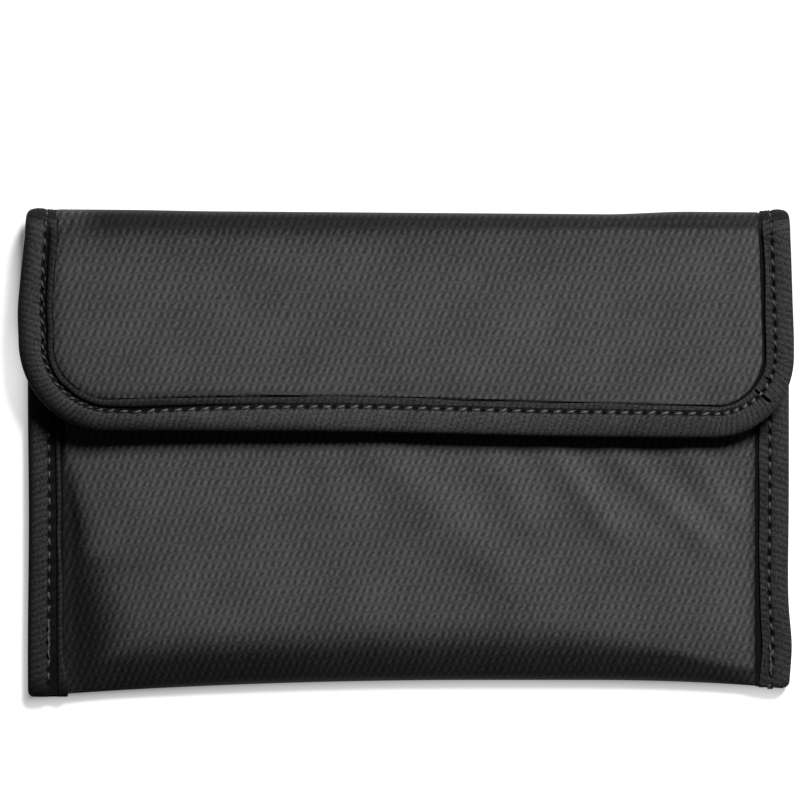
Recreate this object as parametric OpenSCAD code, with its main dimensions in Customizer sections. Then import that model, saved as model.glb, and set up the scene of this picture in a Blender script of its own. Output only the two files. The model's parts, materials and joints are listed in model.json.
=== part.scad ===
// Neck pouch wallet lying on its back, flap closed.
// X runs along the width, Y up towards the top fold, Z out of the front.
// The origin is the middle of the outline, at the level of the table.
// The flap turns about an axis along X in the middle of the top fold.

/* [Pouch] */
// Width of the body over its side bindings
body_w = 225; // [180:1:280]
// Height of the body from the lower tape ends to the top fold
body_h = 143; // [120:1:180]
// Free depth of the main compartment at its crown
compartment_depth = 5.2; // [5:0.1:12]
// Distance that the crown draws the bottom edge in at the middle
bottom_draw = 3.5; // [0:0.5:8]
// Length over which the front rolls down into the bottom fold
bottom_fold_r = 14; // [8:1:20]
// Distance from the side bindings to the start of the crown
crown_margin = 0.5; // [0:0.1:2]
// Distance from the hinge line down to the mouth edge of the front
mouth_drop = 19; // [16:1:30]

/* [Flap] */
// Drop of the flap from the top fold to its lower edge
flap_drop = 65; // [50:1:90]
// Distance that each side edge of the flap flares past the body
flap_flare = 2.5; // [0:0.5:6]
// Outer radius of the lower corners of the flap
flap_corner_r = 24; // [14:1:30]
// Droop of the side edges at the lower end of the flap
flap_droop = 5; // [0:0.5:6]
// Sag of the middle of the flap at its lower edge
flap_sag = 0.6; // [0:0.1:1]

/* [Cloth layers] */
// Thickness of the outer cloth
cloth_t = 0.6; // [0.4:0.1:1]
// Thickness of the shielding foil between cloth and lining
shield_t = 0.15; // [0.1:0.05:0.3]
// Thickness of the lining cloth
lining_t = 0.3; // [0.2:0.05:0.5]
// Clearance between layers that are sewn together
layer_gap = 0.1; // [0.1:0.05:0.3]

/* [Binding] */
// Thickness of the binding tape
tape_t = 0.7; // [0.5:0.1:1]
// Width of the folded binding tape on each face
binding_w = 9.5; // [7:0.5:12]
// Length of the tape ends past the bottom fold
tape_overhang = 1.5; // [0:0.5:4]

/* [Closure] */
// Length of the hook strip and the loop strip
strip_w = 120; // [60:5:140]
// Height of both strips
strip_h = 16; // [10:1:20]
// Thickness of each strip
strip_t = 0.9; // [0.7:0.1:1.5]
// Distance between the facing strips with the flap closed
closure_gap = 0.3; // [0.3:0.1:1]
// Distance from the lower edge of the flap to the strips
strip_inset = 12; // [11:1:20]

/* [Pockets] */
// Free depth of the zipped pocket when it is empty
pocket_gap = 0.7; // [0.6:0.1:2]
// Distance from each side of the body to the card strips
card_margin = 19.5; // [18:0.5:30]
// Height of each card strip
card_strip_h = 52; // [40:1:56]
// Step from one card strip up to the next
card_step = 16; // [10:1:20]
// Distance from the lower tape ends to the lower card strip
card_inset = 14; // [12:1:20]

/* [Zip] */
// Distance from each side of the body to the ends of the zip
zip_margin = 32.5; // [32:0.5:50]
// Distance from the hinge line down to the zip
zip_drop = 10; // [9:0.5:11]
// Width of the gap in the lining that the zip closes
zip_window = 8; // [7.6:0.2:10]
// Width of each zip tape
zip_tape_w = 8.5; // [7:0.5:9]
// Thickness of the zip tapes
zip_tape_t = 0.4; // [0.3:0.1:0.6]
// Width of one row of the coil
coil_w = 1.2; // [1:0.1:1.5]
// Height of the coil
coil_h = 1.3; // [1:0.1:1.8]
// Slot between the two rows of the coil
coil_slot = 0.9; // [0.8:0.1:1.2]
// Length of each end stop
stop_l = 1.6; // [1:0.2:3]
// Length of the slider
slider_l = 9; // [7:0.5:10]
// Width of the slider
slider_w = 6.6; // [6:0.2:7]
// Thickness of the top plate of the slider
slider_t = 0.9; // [0.7:0.1:1.2]
// Running clearance round the slider
run_gap = 0.15; // [0.12:0.01:0.2]
// Length of the pull tab
puller_l = 13; // [10:1:14]
// Width of the pull tab
puller_w = 4; // [3.5:0.5:5]
// Thickness of the pull tab
puller_t = 0.8; // [0.6:0.1:1]
// Thickness of the bail that holds the pull tab
bail_t = 1; // [0.8:0.1:1.2]
// Rise of the bail over the slider
bail_h = 2.2; // [2:0.1:3]

/* [Cord loops] */
// Radius of the eye that takes a neck cord
eye_r = 3; // [2:0.1:3]
// Thickness of the loop tape
loop_t = 0.8; // [0.6:0.1:1]
// Width of the loop tape
loop_w = 10; // [6:1:10]
// Length of the sewn tail of each loop
loop_tail = 8; // [4:1:10]
// Distance from each loop to the hinge line
loop_inset = 0.8; // [0.5:0.1:1.5]
// Distance from each loop to the side binding
loop_margin = 1; // [0.5:0.1:2]

/* [Thread] */
// Distance from one stitch to the next
stitch_pitch = 4; // [3:0.5:6]
// Length of the thread that shows in one stitch
stitch_len = 2.9; // [1.5:0.1:2.9]
// Radius of the thread
thread_r = 0.28; // [0.2:0.02:0.4]
// Distance from the outer edge of the tape to the stitches
stitch_inset = 6.5; // [3:0.5:6.5]

/* [Hidden] */
$fn = 48;

// Half width of the body, and of the sheets inside the side bindings
half_w = body_w / 2;
sheet_half = half_w - tape_t - layer_gap;
// Where the crown of the front starts, just inside the side bindings
crown_half = half_w - binding_w - crown_margin;

// Levels of the layers above the table, from the back outwards
back_z = tape_t + layer_gap;
back_shield_z = back_z + cloth_t + layer_gap;
back_lining_z = back_shield_z + shield_t + layer_gap;
back_top = back_lining_z + lining_t;
pocket_z = back_top + pocket_gap;
pocket_top = pocket_z + lining_t;
seam_z = pocket_top + layer_gap;
card_step_z = lining_t + layer_gap;
card_top = seam_z + 2 * card_step_z;

// Heights in the front stack, from the underside of its lining
front_shield_up = lining_t + layer_gap;
front_cloth_up = front_shield_up + shield_t + layer_gap;
front_up = front_cloth_up + cloth_t;
crown = card_top + compartment_depth - seam_z;
front_top = seam_z + crown + front_up;
seam_top = seam_z + front_up + layer_gap + tape_t;

// Levels of the flap at the top fold
flap_lining_z = front_top + 2 * (strip_t + layer_gap) + closure_gap + flap_sag;
flap_shield_z = flap_lining_z + lining_t + layer_gap;
flap_cloth_z = flap_shield_z + shield_t + layer_gap;
flap_cloth_top = flap_cloth_z + cloth_t;
flap_tape_z = flap_lining_z - layer_gap - tape_t;
flap_tape_top = flap_cloth_top + layer_gap + tape_t;

// The hinge axis, midway between back and flap
hinge_z = flap_tape_top / 2;
hinge_y = body_h / 2 - hinge_z;
panel_y = hinge_y - layer_gap;
mouth_y = hinge_y - mouth_drop;
flap_y = body_h / 2 - flap_drop;

// Flap outline: half width, corner centre and number of steps
flap_half = half_w + flap_flare;
flare_share = 0.55;
corner_y = flap_y + flap_corner_r;
corner_x = flap_half - flap_corner_r;
side_steps = 8;
corner_steps = 8;
edge_steps = 14;
sheet_steps = 26;
fold_steps = 8;

// Closure, cards, zip and cord loop places
strip_y = flap_y + strip_inset;
strip_steps = 12;
card_strip_w = body_w - 2 * card_margin;
zip_len = body_w - 2 * zip_margin;
zip_y = hinge_y - zip_drop;
zip_z = pocket_top + layer_gap;
coil_z = zip_z + zip_tape_t + layer_gap;
coil_top = coil_z + coil_h;
slider_under_z = back_top + run_gap;
slider_under_t = zip_z - run_gap - slider_under_z;
slider_z = coil_top + run_gap;
slider_top = slider_z + slider_t;
slider_x = zip_len / 2 - stop_l - run_gap - slider_l / 2;
loop_r = eye_r + loop_t;
loop_y = hinge_y - loop_inset - loop_r;
loop_x = half_w - binding_w - loop_margin - loop_w;

// Colours
cloth_c = [0.15, 0.15, 0.16];
tape_c = [0.10, 0.10, 0.11];
lining_c = [0.25, 0.26, 0.28];
foil_c = [0.62, 0.63, 0.65];
strip_c = [0.07, 0.07, 0.08];
metal_c = [0.35, 0.35, 0.37];
thread_c = [0.20, 0.20, 0.21];

// Height share of the crown across the width: 1 in the middle, 0 at the bindings
function crown_share(x) = abs(x) < crown_half ? 1 - pow(abs(x) / crown_half, 4) : 0;

// Bottom edge, drawn in at the middle
function bottom_y(x) = tape_overhang - body_h / 2 + bottom_draw * (1 - pow(x / half_w, 2));

// A point of the front stack: up is its height in the stack, roll is 0 at the
// bottom edge and 90 where the bottom fold ends
function front_point(x, roll, up) =
    let (inset = front_up - up)
    [x,
     bottom_y(x) + inset + (bottom_fold_r - inset) * (1 - cos(roll)),
     seam_z + up + crown * crown_share(x) * sin(roll)];

// A point of the mouth edge
function mouth_point(x, up) = [x, mouth_y, seam_z + up + crown * crown_share(x)];

// Width positions of the front sheets: the seam, the crown and the seam again
front_xs = concat([-sheet_half],
                  [for (i = [0 : sheet_steps]) crown_half * (2 * i / sheet_steps - 1)],
                  [sheet_half]);

// One face of a front sheet, from the bottom edge to the mouth
function front_face(up) =
    concat([for (i = [0 : fold_steps]) [for (x = front_xs) front_point(x, 90 * i / fold_steps, up)]],
           [[for (x = front_xs) mouth_point(x, up)]]);

// How far a point of the flap lies below the level of the top fold
function flap_share(y) = min(1, max(0, (hinge_y - y) / (hinge_y - flap_y)));
function ease(s) = s * s * (3 - 2 * s);
function flap_down(x, y) =
    ease(flap_share(y)) * (flap_sag + flap_droop * pow(abs(x) / flap_half, 3));

// Half width of the flap above its corners
function flap_side(y) = half_w + flap_flare * sin(90 * min(1, flap_share(y) / flare_share));

// Right half of the flap outline, drawn in by inset, from the hinge to the lower edge
function flap_half_edge(inset) =
    concat([for (i = [0 : side_steps])
                let (y = panel_y + (corner_y - panel_y) * i / side_steps)
                [flap_side(y) - inset, y]],
           [for (i = [1 : corner_steps])
                let (a = 90 * i / corner_steps)
                [corner_x + (flap_corner_r - inset) * cos(a),
                 corner_y - (flap_corner_r - inset) * sin(a)]]);

// The whole flap outline, from the right hinge end round to the left one
function flap_edge(inset) =
    let (right = flap_half_edge(inset), n = len(right))
    concat(right,
           [for (i = [1 : edge_steps - 1]) [corner_x * (1 - 2 * i / edge_steps), flap_y + inset]],
           [for (i = [n - 1 : -1 : 0]) [-right[i].x, right[i].y]]);

// One face of a flap sheet at a level of the top fold
function flap_face(level) =
    [for (edge = flap_half_edge(tape_t + layer_gap))
        [for (i = [0 : sheet_steps])
            let (x = edge.x * (2 * i / sheet_steps - 1))
            [x, edge.y, level - flap_down(x, edge.y)]]];

// Faces of a strip of rows between two ring or row lists
function row_faces(rows, cols, first, flip) =
    [for (r = [0 : rows - 2], c = [0 : cols - 2])
        let (a = first + r * cols + c, b = a + 1, d = a + cols, e = d + 1)
        each flip ? [[a, d, b], [b, d, e]] : [[a, b, d], [b, e, d]]];

// A solid between two faces that are lists of rows of points
module sheet(under, over) {
    rows = len(under);
    cols = len(under[0]);
    n = rows * cols;
    rim = concat([for (c = [0 : cols - 2]) [c, c + 1]],
                 [for (r = [0 : rows - 2]) [r * cols + cols - 1, (r + 1) * cols + cols - 1]],
                 [for (c = [cols - 1 : -1 : 1]) [n - cols + c, n - cols + c - 1]],
                 [for (r = [rows - 1 : -1 : 1]) [r * cols, (r - 1) * cols]]);
    walls = [for (e = rim) each [[e[0], n + e[0], e[1]], [e[1], n + e[0], n + e[1]]]];
    polyhedron(points = concat([for (row = under) each row], [for (row = over) each row]),
               faces = concat(row_faces(rows, cols, 0, false),
                              row_faces(rows, cols, n, true), walls));
}

// A solid swept through a list of rings; caps are the triangles of its two ends
module sweep(rings, caps) {
    k = len(rings[0]);
    n = len(rings);
    sides = [for (r = [0 : n - 2], c = [0 : k - 1])
                let (a = r * k + c, b = r * k + (c + 1) % k)
                each [[a, b, a + k], [b, b + k, a + k]]];
    first_cap = [for (f = caps) [f[2], f[1], f[0]]];
    last_cap = [for (f = caps) [for (i = f) (n - 1) * k + i]];
    polyhedron(points = [for (ring = rings) each ring], faces = concat(sides, first_cap, last_cap));
}

// Section of folded tape round layers of a given height: the first value is the
// distance from the outer edge, the second the height over its underside
function tape_section(height) =
    let (h = height, r = tape_t)
    [[binding_w, h], [r, h], [r * 0.29, h - r * 0.29], [0, h - r],
     [0, r], [r * 0.29, r * 0.29], [r, 0], [binding_w, 0],
     [binding_w, tape_t], [tape_t, tape_t], [tape_t, h - tape_t], [binding_w, h - tape_t]];

// Triangles that close the end of a tape section: upper band, outer edge, lower band
tape_caps = [[0, 1, 10], [0, 10, 11], [1, 2, 10], [2, 3, 10], [3, 4, 9], [3, 9, 10],
             [4, 5, 9], [5, 6, 9], [6, 7, 8], [6, 8, 9]];

// A flat sheet of the body with the drawn-in bottom edge
module body_sheet(z, t, top_y) {
    bottom = [for (i = [0 : sheet_steps])
                let (x = sheet_half * (2 * i / sheet_steps - 1))
                [x, bottom_y(x) + cloth_t + layer_gap]];
    translate([0, 0, z])
        linear_extrude(t)
            polygon(concat(bottom, [[sheet_half, top_y], [-sheet_half, top_y]]));
}

// A flat strip across the body
module strip(width, y, height, z, t) {
    translate([-width / 2, y, z])
        cube([width, height, t]);
}

// A half ring round the hinge axis between two radii
module fold_sheet(radius, t) {
    translate([0, hinge_y, hinge_z])
        rotate([0, 90, 0])
            rotate_extrude(angle = 180)
                translate([radius - t, -sheet_half])
                    square([t, 2 * sheet_half]);
}

// Straight binding on the right edge between two places along it
module edge_binding(y, length, height) {
    translate([half_w, y + length, 0])
        rotate([90, 0, 0])
            linear_extrude(length)
                polygon([for (p = tape_section(height)) [-p.x, p.y]]);
}

module side_binding() {
    edge_binding(-body_h / 2, mouth_y + body_h / 2, seam_top);
    edge_binding(mouth_y, panel_y - mouth_y, pocket_top + layer_gap + tape_t);
}

// Tape round the open end of the top fold
module fold_binding() {
    height = flap_tape_top - flap_tape_z;
    translate([0, hinge_y, hinge_z])
        rotate([0, 90, 0])
            rotate_extrude(angle = 180)
                polygon([for (p = tape_section(height)) [hinge_z - height + p.y, half_w - p.x]]);
}

// A loop of tape with an eye along X and a tail that lies on the facing
module cord_loop() {
    translate([loop_x, loop_y, zip_z])
        difference() {
            union() {
                translate([0, 0, loop_r])
                    rotate([0, 90, 0])
                        cylinder(h = loop_w, r = loop_r);
                translate([0, -loop_r - loop_tail, 0])
                    cube([loop_w, loop_r + loop_tail, loop_t]);
            }
            translate([-1, 0, loop_r])
                rotate([0, 90, 0])
                    cylinder(h = loop_w + 2, r = eye_r);
        }
}

// One straight stitch between two points
module stitch(from, to) {
    v = to - from;
    translate(from)
        rotate([0, acos(v.z / norm(v)), atan2(v.y, v.x)])
            cylinder(h = norm(v), r = thread_r, $fn = 16);
}

// Middle of a thread that lies on the flap tape
function flap_thread(p) =
    [p.x, p.y, flap_tape_top - flap_down(p.x, p.y) + layer_gap + thread_r];

module back_panel() color(cloth_c) body_sheet(back_z, cloth_t, panel_y);

module back_shield() color(foil_c) body_sheet(back_shield_z, shield_t, panel_y);

module back_lining() color(lining_c) body_sheet(back_lining_z, lining_t, panel_y);

// Outer cloth of the front with the skirt that closes the bottom fold
module front_panel() color(cloth_c) {
    skirt_in = [for (x = front_xs) [x, bottom_y(x) + cloth_t, back_z]];
    skirt_out = [for (x = front_xs) [x, bottom_y(x), back_z]];
    sheet(concat([skirt_in], front_face(front_cloth_up)),
          concat([skirt_out], front_face(front_up)));
}

module front_shield() color(foil_c)
    sheet(front_face(front_shield_up), front_face(front_shield_up + shield_t));

module front_lining() color(lining_c) sheet(front_face(0), front_face(lining_t));

module side_binding_right() color(tape_c) side_binding();

module side_binding_left() color(tape_c) mirror([1, 0, 0]) side_binding();

// Wall of the zipped pocket, up to the zip
module pocket_panel() color(lining_c) body_sheet(pocket_z, lining_t, zip_y - zip_window / 2);

// Strip of lining between the zip and the top fold
module zip_facing() color(lining_c) {
    y = zip_y + zip_window / 2;
    strip(2 * sheet_half, y, panel_y - y, pocket_z, lining_t);
}

module card_strip_lower() color(lining_c)
    strip(card_strip_w, card_inset - body_h / 2, card_strip_h, seam_z + card_step_z, lining_t);

module card_strip_upper() color(lining_c)
    strip(card_strip_w, card_inset + card_step - body_h / 2, card_strip_h, seam_z, lining_t);

module zip_tape_upper() color(tape_c)
    strip(zip_len, zip_y + coil_slot / 2, zip_tape_w, zip_z, zip_tape_t);

module zip_tape_lower() color(tape_c)
    strip(zip_len, zip_y - coil_slot / 2 - zip_tape_w, zip_tape_w, zip_z, zip_tape_t);

module zip_coil_upper() color(thread_c)
    strip(zip_len - 2 * stop_l - 2 * layer_gap, zip_y + coil_slot / 2, coil_w, coil_z, coil_h);

module zip_coil_lower() color(thread_c)
    strip(zip_len - 2 * stop_l - 2 * layer_gap, zip_y - coil_slot / 2 - coil_w, coil_w, coil_z, coil_h);

// A stop across both rows at each end of the coil
module zip_stops() color(metal_c)
    for (side = [-1, 1])
        translate([side * (zip_len - stop_l) / 2, zip_y, coil_z + coil_h / 2])
            cube([stop_l, 2 * coil_w + coil_slot, coil_h], center = true);

// Two plates round the coil, joined by a post that runs in the slot
module zip_slider() color(metal_c)
    translate([slider_x, zip_y, 0]) {
        post_w = coil_slot - 2 * run_gap;
        translate([-slider_l / 2, -slider_w / 2, slider_under_z])
            cube([slider_l, slider_w, slider_under_t]);
        translate([-slider_l / 2, -slider_w / 2, slider_z])
            cube([slider_l, slider_w, slider_t]);
        translate([0, -post_w / 2, slider_under_z])
            cube([slider_l / 2, post_w, slider_top - slider_under_z]);
        translate([0, bail_t / 2, slider_top])
            rotate([90, 0, 0])
                linear_extrude(bail_t)
                    difference() {
                        translate([-bail_h, -slider_t / 2])
                            square([2 * bail_h, slider_t / 2 + bail_h]);
                        translate([bail_t - bail_h, 0])
                            square([2 * (bail_h - bail_t), bail_h - bail_t]);
                    }
    }

// Pull tab with a window round one leg of the bail
module zip_puller() color(tape_c)
    translate([slider_x, zip_y, slider_top + layer_gap])
        difference() {
            translate([layer_gap - puller_l, -puller_w / 2, 0])
                cube([puller_l, puller_w, puller_t]);
            translate([-bail_h - run_gap, -bail_t / 2 - run_gap, -1])
                cube([bail_t + 2 * run_gap, bail_t + 2 * run_gap, puller_t + 2]);
        }

module cord_loop_right() color(tape_c) cord_loop();

module cord_loop_left() color(tape_c) mirror([1, 0, 0]) cord_loop();

// Soft strip on the front
module loop_strip() color(strip_c) {
    xs = [for (i = [0 : strip_steps]) strip_w * (i / strip_steps - 0.5)];
    up = seam_z + front_up + layer_gap;
    under = [for (y = [strip_y, strip_y + strip_h]) [for (x = xs) [x, y, up + crown * crown_share(x)]]];
    sheet(under, [for (row = under) [for (p = row) p + [0, 0, strip_t]]]);
}

// Hook strip under the flap
module hook_strip() color(strip_c) {
    xs = [for (i = [0 : strip_steps]) strip_w * (i / strip_steps - 0.5)];
    up = flap_lining_z - layer_gap;
    over = [for (s = [0 : 0.25 : 1])
               let (y = strip_y + s * strip_h)
               [for (x = xs) [x, y, up - flap_down(x, y)]]];
    sheet([for (row = over) [for (p = row) p - [0, 0, strip_t]]], over);
}

module flap_panel() color(cloth_c) flap_sheet(flap_cloth_z, cloth_t);

module flap_shield() color(foil_c) flap_sheet(flap_shield_z, shield_t);

module flap_lining() color(lining_c) flap_sheet(flap_lining_z, lining_t);

// A sheet of the flap; its rows run down, so the faces change places
module flap_sheet(z, t) sheet(flap_face(z + t), flap_face(z));

// Folded tape round the edge of the flap
module flap_binding() color(tape_c) {
    section = tape_section(flap_tape_top - flap_tape_z);
    edges = [for (p = section) flap_edge(p.x)];
    sweep([for (i = [0 : len(edges[0]) - 1])
              [for (j = [0 : len(section) - 1])
                  let (p = edges[j][i])
                  [p.x, p.y, flap_tape_z + section[j].y - flap_down(p.x, p.y)]]],
          tape_caps);
}

module top_fold_cloth() color(cloth_c) fold_sheet(flap_cloth_top - hinge_z, cloth_t);

module top_fold_shield() color(foil_c) fold_sheet(flap_shield_z + shield_t - hinge_z, shield_t);

module top_fold_lining() color(lining_c) fold_sheet(flap_lining_z + lining_t - hinge_z, lining_t);

module fold_binding_right() color(tape_c) fold_binding();

module fold_binding_left() color(tape_c) mirror([1, 0, 0]) fold_binding();

// Rows of stitches along both side bindings
module side_stitching() color(thread_c) {
    y = stitch_pitch - body_h / 2;
    z = seam_top + layer_gap + thread_r;
    for (side = [-1, 1], i = [0 : floor((mouth_y - stitch_pitch - y) / stitch_pitch)]) {
        from = [side * (half_w - stitch_inset), y + i * stitch_pitch, z];
        stitch(from, from + [0, stitch_len, 0]);
    }
}

// Stitches round the edge of the flap, at even steps along their line
module flap_stitching() color(thread_c) {
    line = flap_edge(stitch_inset);
    runs = [for (i = 0, s = 0; i < len(line);
                 s = s + (i + 1 < len(line) ? norm(line[i + 1] - line[i]) : 0), i = i + 1) s];
    xs = [for (i = [0 : len(line) - 1]) [runs[i], line[i].x]];
    ys = [for (i = [0 : len(line) - 1]) [runs[i], line[i].y]];
    count = floor(runs[len(line) - 1] / stitch_pitch);
    for (i = [0 : count - 1]) {
        s = (i + 0.5) * runs[len(line) - 1] / count;
        a = s - stitch_len / 2;
        b = s + stitch_len / 2;
        stitch(flap_thread([lookup(a, xs), lookup(a, ys)]), flap_thread([lookup(b, xs), lookup(b, ys)]));
    }
}

back_panel();
back_shield();
back_lining();
front_panel();
front_shield();
front_lining();
side_binding_left();
side_binding_right();
pocket_panel();
zip_facing();
card_strip_upper();
card_strip_lower();
zip_tape_upper();
zip_tape_lower();
zip_coil_upper();
zip_coil_lower();
zip_stops();
zip_slider();
zip_puller();
cord_loop_left();
cord_loop_right();
loop_strip();
hook_strip();
flap_panel();
flap_shield();
flap_lining();
flap_binding();
top_fold_cloth();
top_fold_shield();
top_fold_lining();
fold_binding_left();
fold_binding_right();
side_stitching();
flap_stitching();
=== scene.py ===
import json
import math

import bmesh
import bpy
import numpy as np
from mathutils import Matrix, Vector


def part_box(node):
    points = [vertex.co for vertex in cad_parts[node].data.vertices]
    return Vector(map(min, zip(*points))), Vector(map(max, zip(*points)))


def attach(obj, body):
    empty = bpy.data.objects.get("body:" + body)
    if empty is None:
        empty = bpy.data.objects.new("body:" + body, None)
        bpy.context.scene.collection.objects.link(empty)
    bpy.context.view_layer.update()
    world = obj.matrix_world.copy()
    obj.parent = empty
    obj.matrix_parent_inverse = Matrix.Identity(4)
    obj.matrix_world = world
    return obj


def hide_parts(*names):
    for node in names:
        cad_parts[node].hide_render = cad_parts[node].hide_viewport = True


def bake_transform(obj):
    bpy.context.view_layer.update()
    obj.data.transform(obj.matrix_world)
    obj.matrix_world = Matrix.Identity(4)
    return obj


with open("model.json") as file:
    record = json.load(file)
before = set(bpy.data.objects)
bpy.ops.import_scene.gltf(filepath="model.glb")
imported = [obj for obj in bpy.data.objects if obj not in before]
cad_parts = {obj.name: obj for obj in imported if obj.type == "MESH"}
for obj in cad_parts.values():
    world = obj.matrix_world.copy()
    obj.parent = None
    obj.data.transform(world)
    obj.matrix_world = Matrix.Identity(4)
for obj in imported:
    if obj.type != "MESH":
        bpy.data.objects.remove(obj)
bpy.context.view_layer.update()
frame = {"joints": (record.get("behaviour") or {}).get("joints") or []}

# The shapes below are worked out in millimetres and stored in metres.
MM = 0.001


def cad(node):
    """Lowest and highest corner of a CAD node, in millimetres."""
    low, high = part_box(node)
    return np.array(low) / MM, np.array(high) / MM


# Sizes taken from the frame
hinge = next(j for j in frame["joints"] if j["name"] == "flap_hinge")
HINGE_Y, HINGE_Z = hinge["pos_m"][1] / MM, hinge["pos_m"][2] / MM
side_low, side_high = cad("side_binding_right")
front_high = cad("front_panel")[1]
back_low, back_high = cad("back_panel")
flap_low = cad("flap_binding")[0]
HALF_W = side_high[0]
TAPE_W = side_high[0] - side_low[0]
TAPE_END_Y = side_low[1]
SEAM_TOP = side_high[2]
MOUTH_Y = front_high[1]
FRONT_TOP = front_high[2]
SHEET_HALF = back_high[0]
BACK_Z = back_low[2]
CLOTH_T = back_high[2] - back_low[2]
FLAP_EDGE_Y = flap_low[1]
FLAP_TOP = cad("fold_binding_right")[1][2]
FOLD_R = cad("top_fold_cloth")[1][1] - HINGE_Y
LINING_T = cad("back_lining")[1][2] - cad("back_lining")[0][2]
FOIL_T = cad("back_shield")[1][2] - cad("back_shield")[0][2]

# Sizes read from the photograph or chosen to suit it
PIXEL = 0.2964               # millimetres a pixel
IMAGE_PX = 800
PHOTO_CENTRE_PX = (408, 451)  # pixel that shows the middle of the outline
# Bulge of the flap's side edges past the body, by share of its drop
FLAP_BULGE = {
    -1: ((0.0, 0.8), (0.074, 1.35), (0.23, 2.25), (0.384, 3.1), (0.54, 2.8), (1.0, 2.2)),
    1: ((0.0, 0.6), (0.074, 0.8), (0.23, 1.1), (0.384, 1.4), (0.54, 1.8), (1.0, 1.7)),
}
FLAP_CORNER = {-1: 27.0, 1: 24.0}   # radius of the flap's lower corners
FLAP_TAPE_H = 2.85           # thickness of the flap's folded tape
FLAP_HANG = 0.9              # how far the flap's soft edge hangs below its pattern
FLAP_TILT = 1.8              # how much lower it hangs at its right end
BOTTOM_Y = -68.3             # middle of the bottom edge
# Where the bottom edge starts to fall to the left and to the right, and how fast
BOTTOM_FALL = ((22.0, 2.6e-4), (54.0, 6.7e-4))
TAPE_DROP = {-1: 1.7, 1: -1.1}   # how far the side tapes' ends hang below their pattern
SIDE_BULGE = {-1: 0.6, 1: 1.0}   # how far the side tapes stand out below the flap
MOUTH_STEP = 1.35            # the side tapes are lower beyond the mouth, where the front has ended
BOTTOM_ROLL = 20.0           # length of the front's turn down into the bottom fold
BOTTOM_SHADE = 0.83           # painted shade on the cloth over the bottom, where it turns down
BOTTOM_TUCK = 2.4            # how far the crown's outermost line lies below the seams
UNDER_ROLL = 5.0             # length of the turn under it
BACK_BELLY = 0.55            # how far the back swells
STITCH_PITCH = 4.0
THREAD_R = 0.37              # radius of the sewing thread
STITCH_GAP = 1.0             # half of the gap between two stitches
GROOVE = 0.50                # depth of the stitched groove in the tape
GROOVE_UNDER = 0.35          # the same on the tape's underside
FLAP_DROOP = 1.8             # how far the flap's lower corners hang below its middle
SEAM_DIP = 0.55              # how far the seams draw the cloth down
FOLD_TILT = 0.09             # slope of the cloth down from the top fold
FOLD_SPREAD = 9.0            # length over which that slope dies out
PUFF = 1.0                   # how far the flap's cloth swells between its bindings


def smooth(t):
    """Even step from 0 to 1."""
    t = np.clip(t, 0.0, 1.0)
    return t * t * (3 - 2 * t)


def ramp(value, start, full):
    """Even step from 0 at start to 1 at full."""
    return smooth((value - start) / (full - start))


def bump_at(value, centre, width):
    """Bell of height 1 round a centre."""
    return np.exp(-(((value - centre) / width) ** 2))


def photo_place(pixel):
    """Place in the frame of a pixel of the photograph, in millimetres."""
    right, down = pixel[0] - PHOTO_CENTRE_PX[0], pixel[1] - PHOTO_CENTRE_PX[1]
    return np.array([right * PIXEL, -down * PIXEL])


# Meshes
def grid_faces(rows, cols, first=0, flip=False, ring=False):
    """Quads of a grid of points; ring closes each row on itself."""
    faces = []
    for r in range(rows - 1):
        for c in range(cols if ring else cols - 1):
            a, b = first + r * cols + c, first + r * cols + (c + 1) % cols
            quad = (a, b, b + cols, a + cols)
            faces.append(quad[::-1] if flip else quad)
    return faces


SHARP_ANGLE = math.radians(50)


def make_piece(name, points, faces, material, body, nodes=(), slot=None, run=None, hollow=None):
    """A smooth mesh piece that rides on a body.

    run holds each point's place in the cloth; the last argument holds its painted shade, from 0 to 1,
    strongest deep in a seam.
    """
    mesh = bpy.data.meshes.new(name)
    mesh.from_pydata((np.asarray(points, float) * MM).tolist(), [], faces)
    turned = bmesh.new()
    turned.from_mesh(mesh)
    bmesh.ops.recalc_face_normals(turned, faces=turned.faces)
    turned.to_mesh(mesh)
    turned.free()
    mesh.polygons.foreach_set("use_smooth", [True] * len(mesh.polygons))
    mesh.set_sharp_from_angle(angle=SHARP_ANGLE)
    if run is not None:
        layer = mesh.uv_layers.new(name="run")
        loops = np.empty(len(mesh.loops), int)
        mesh.loops.foreach_get("vertex_index", loops)
        layer.data.foreach_set("uv", np.asarray(run, np.float32)[loops].ravel())
    if hollow is not None:
        layer = mesh.attributes.new("hollow", "FLOAT", "POINT")
        layer.data.foreach_set("value", np.asarray(hollow, np.float32).ravel())
    mesh.update()
    piece = bpy.data.objects.new(name, mesh)
    bpy.context.scene.collection.objects.link(piece)
    piece.data.materials.append(material)
    if body:
        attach(piece, body)
    if nodes:
        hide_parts(*nodes)
    return piece


def surface_normals(grid):
    """Unit normals of a grid of points."""
    across = np.gradient(grid, axis=1)
    along = np.gradient(grid, axis=0)
    normal = np.cross(across, along)
    return normal / np.maximum(np.linalg.norm(normal, axis=2, keepdims=True), 1e-9)


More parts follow.
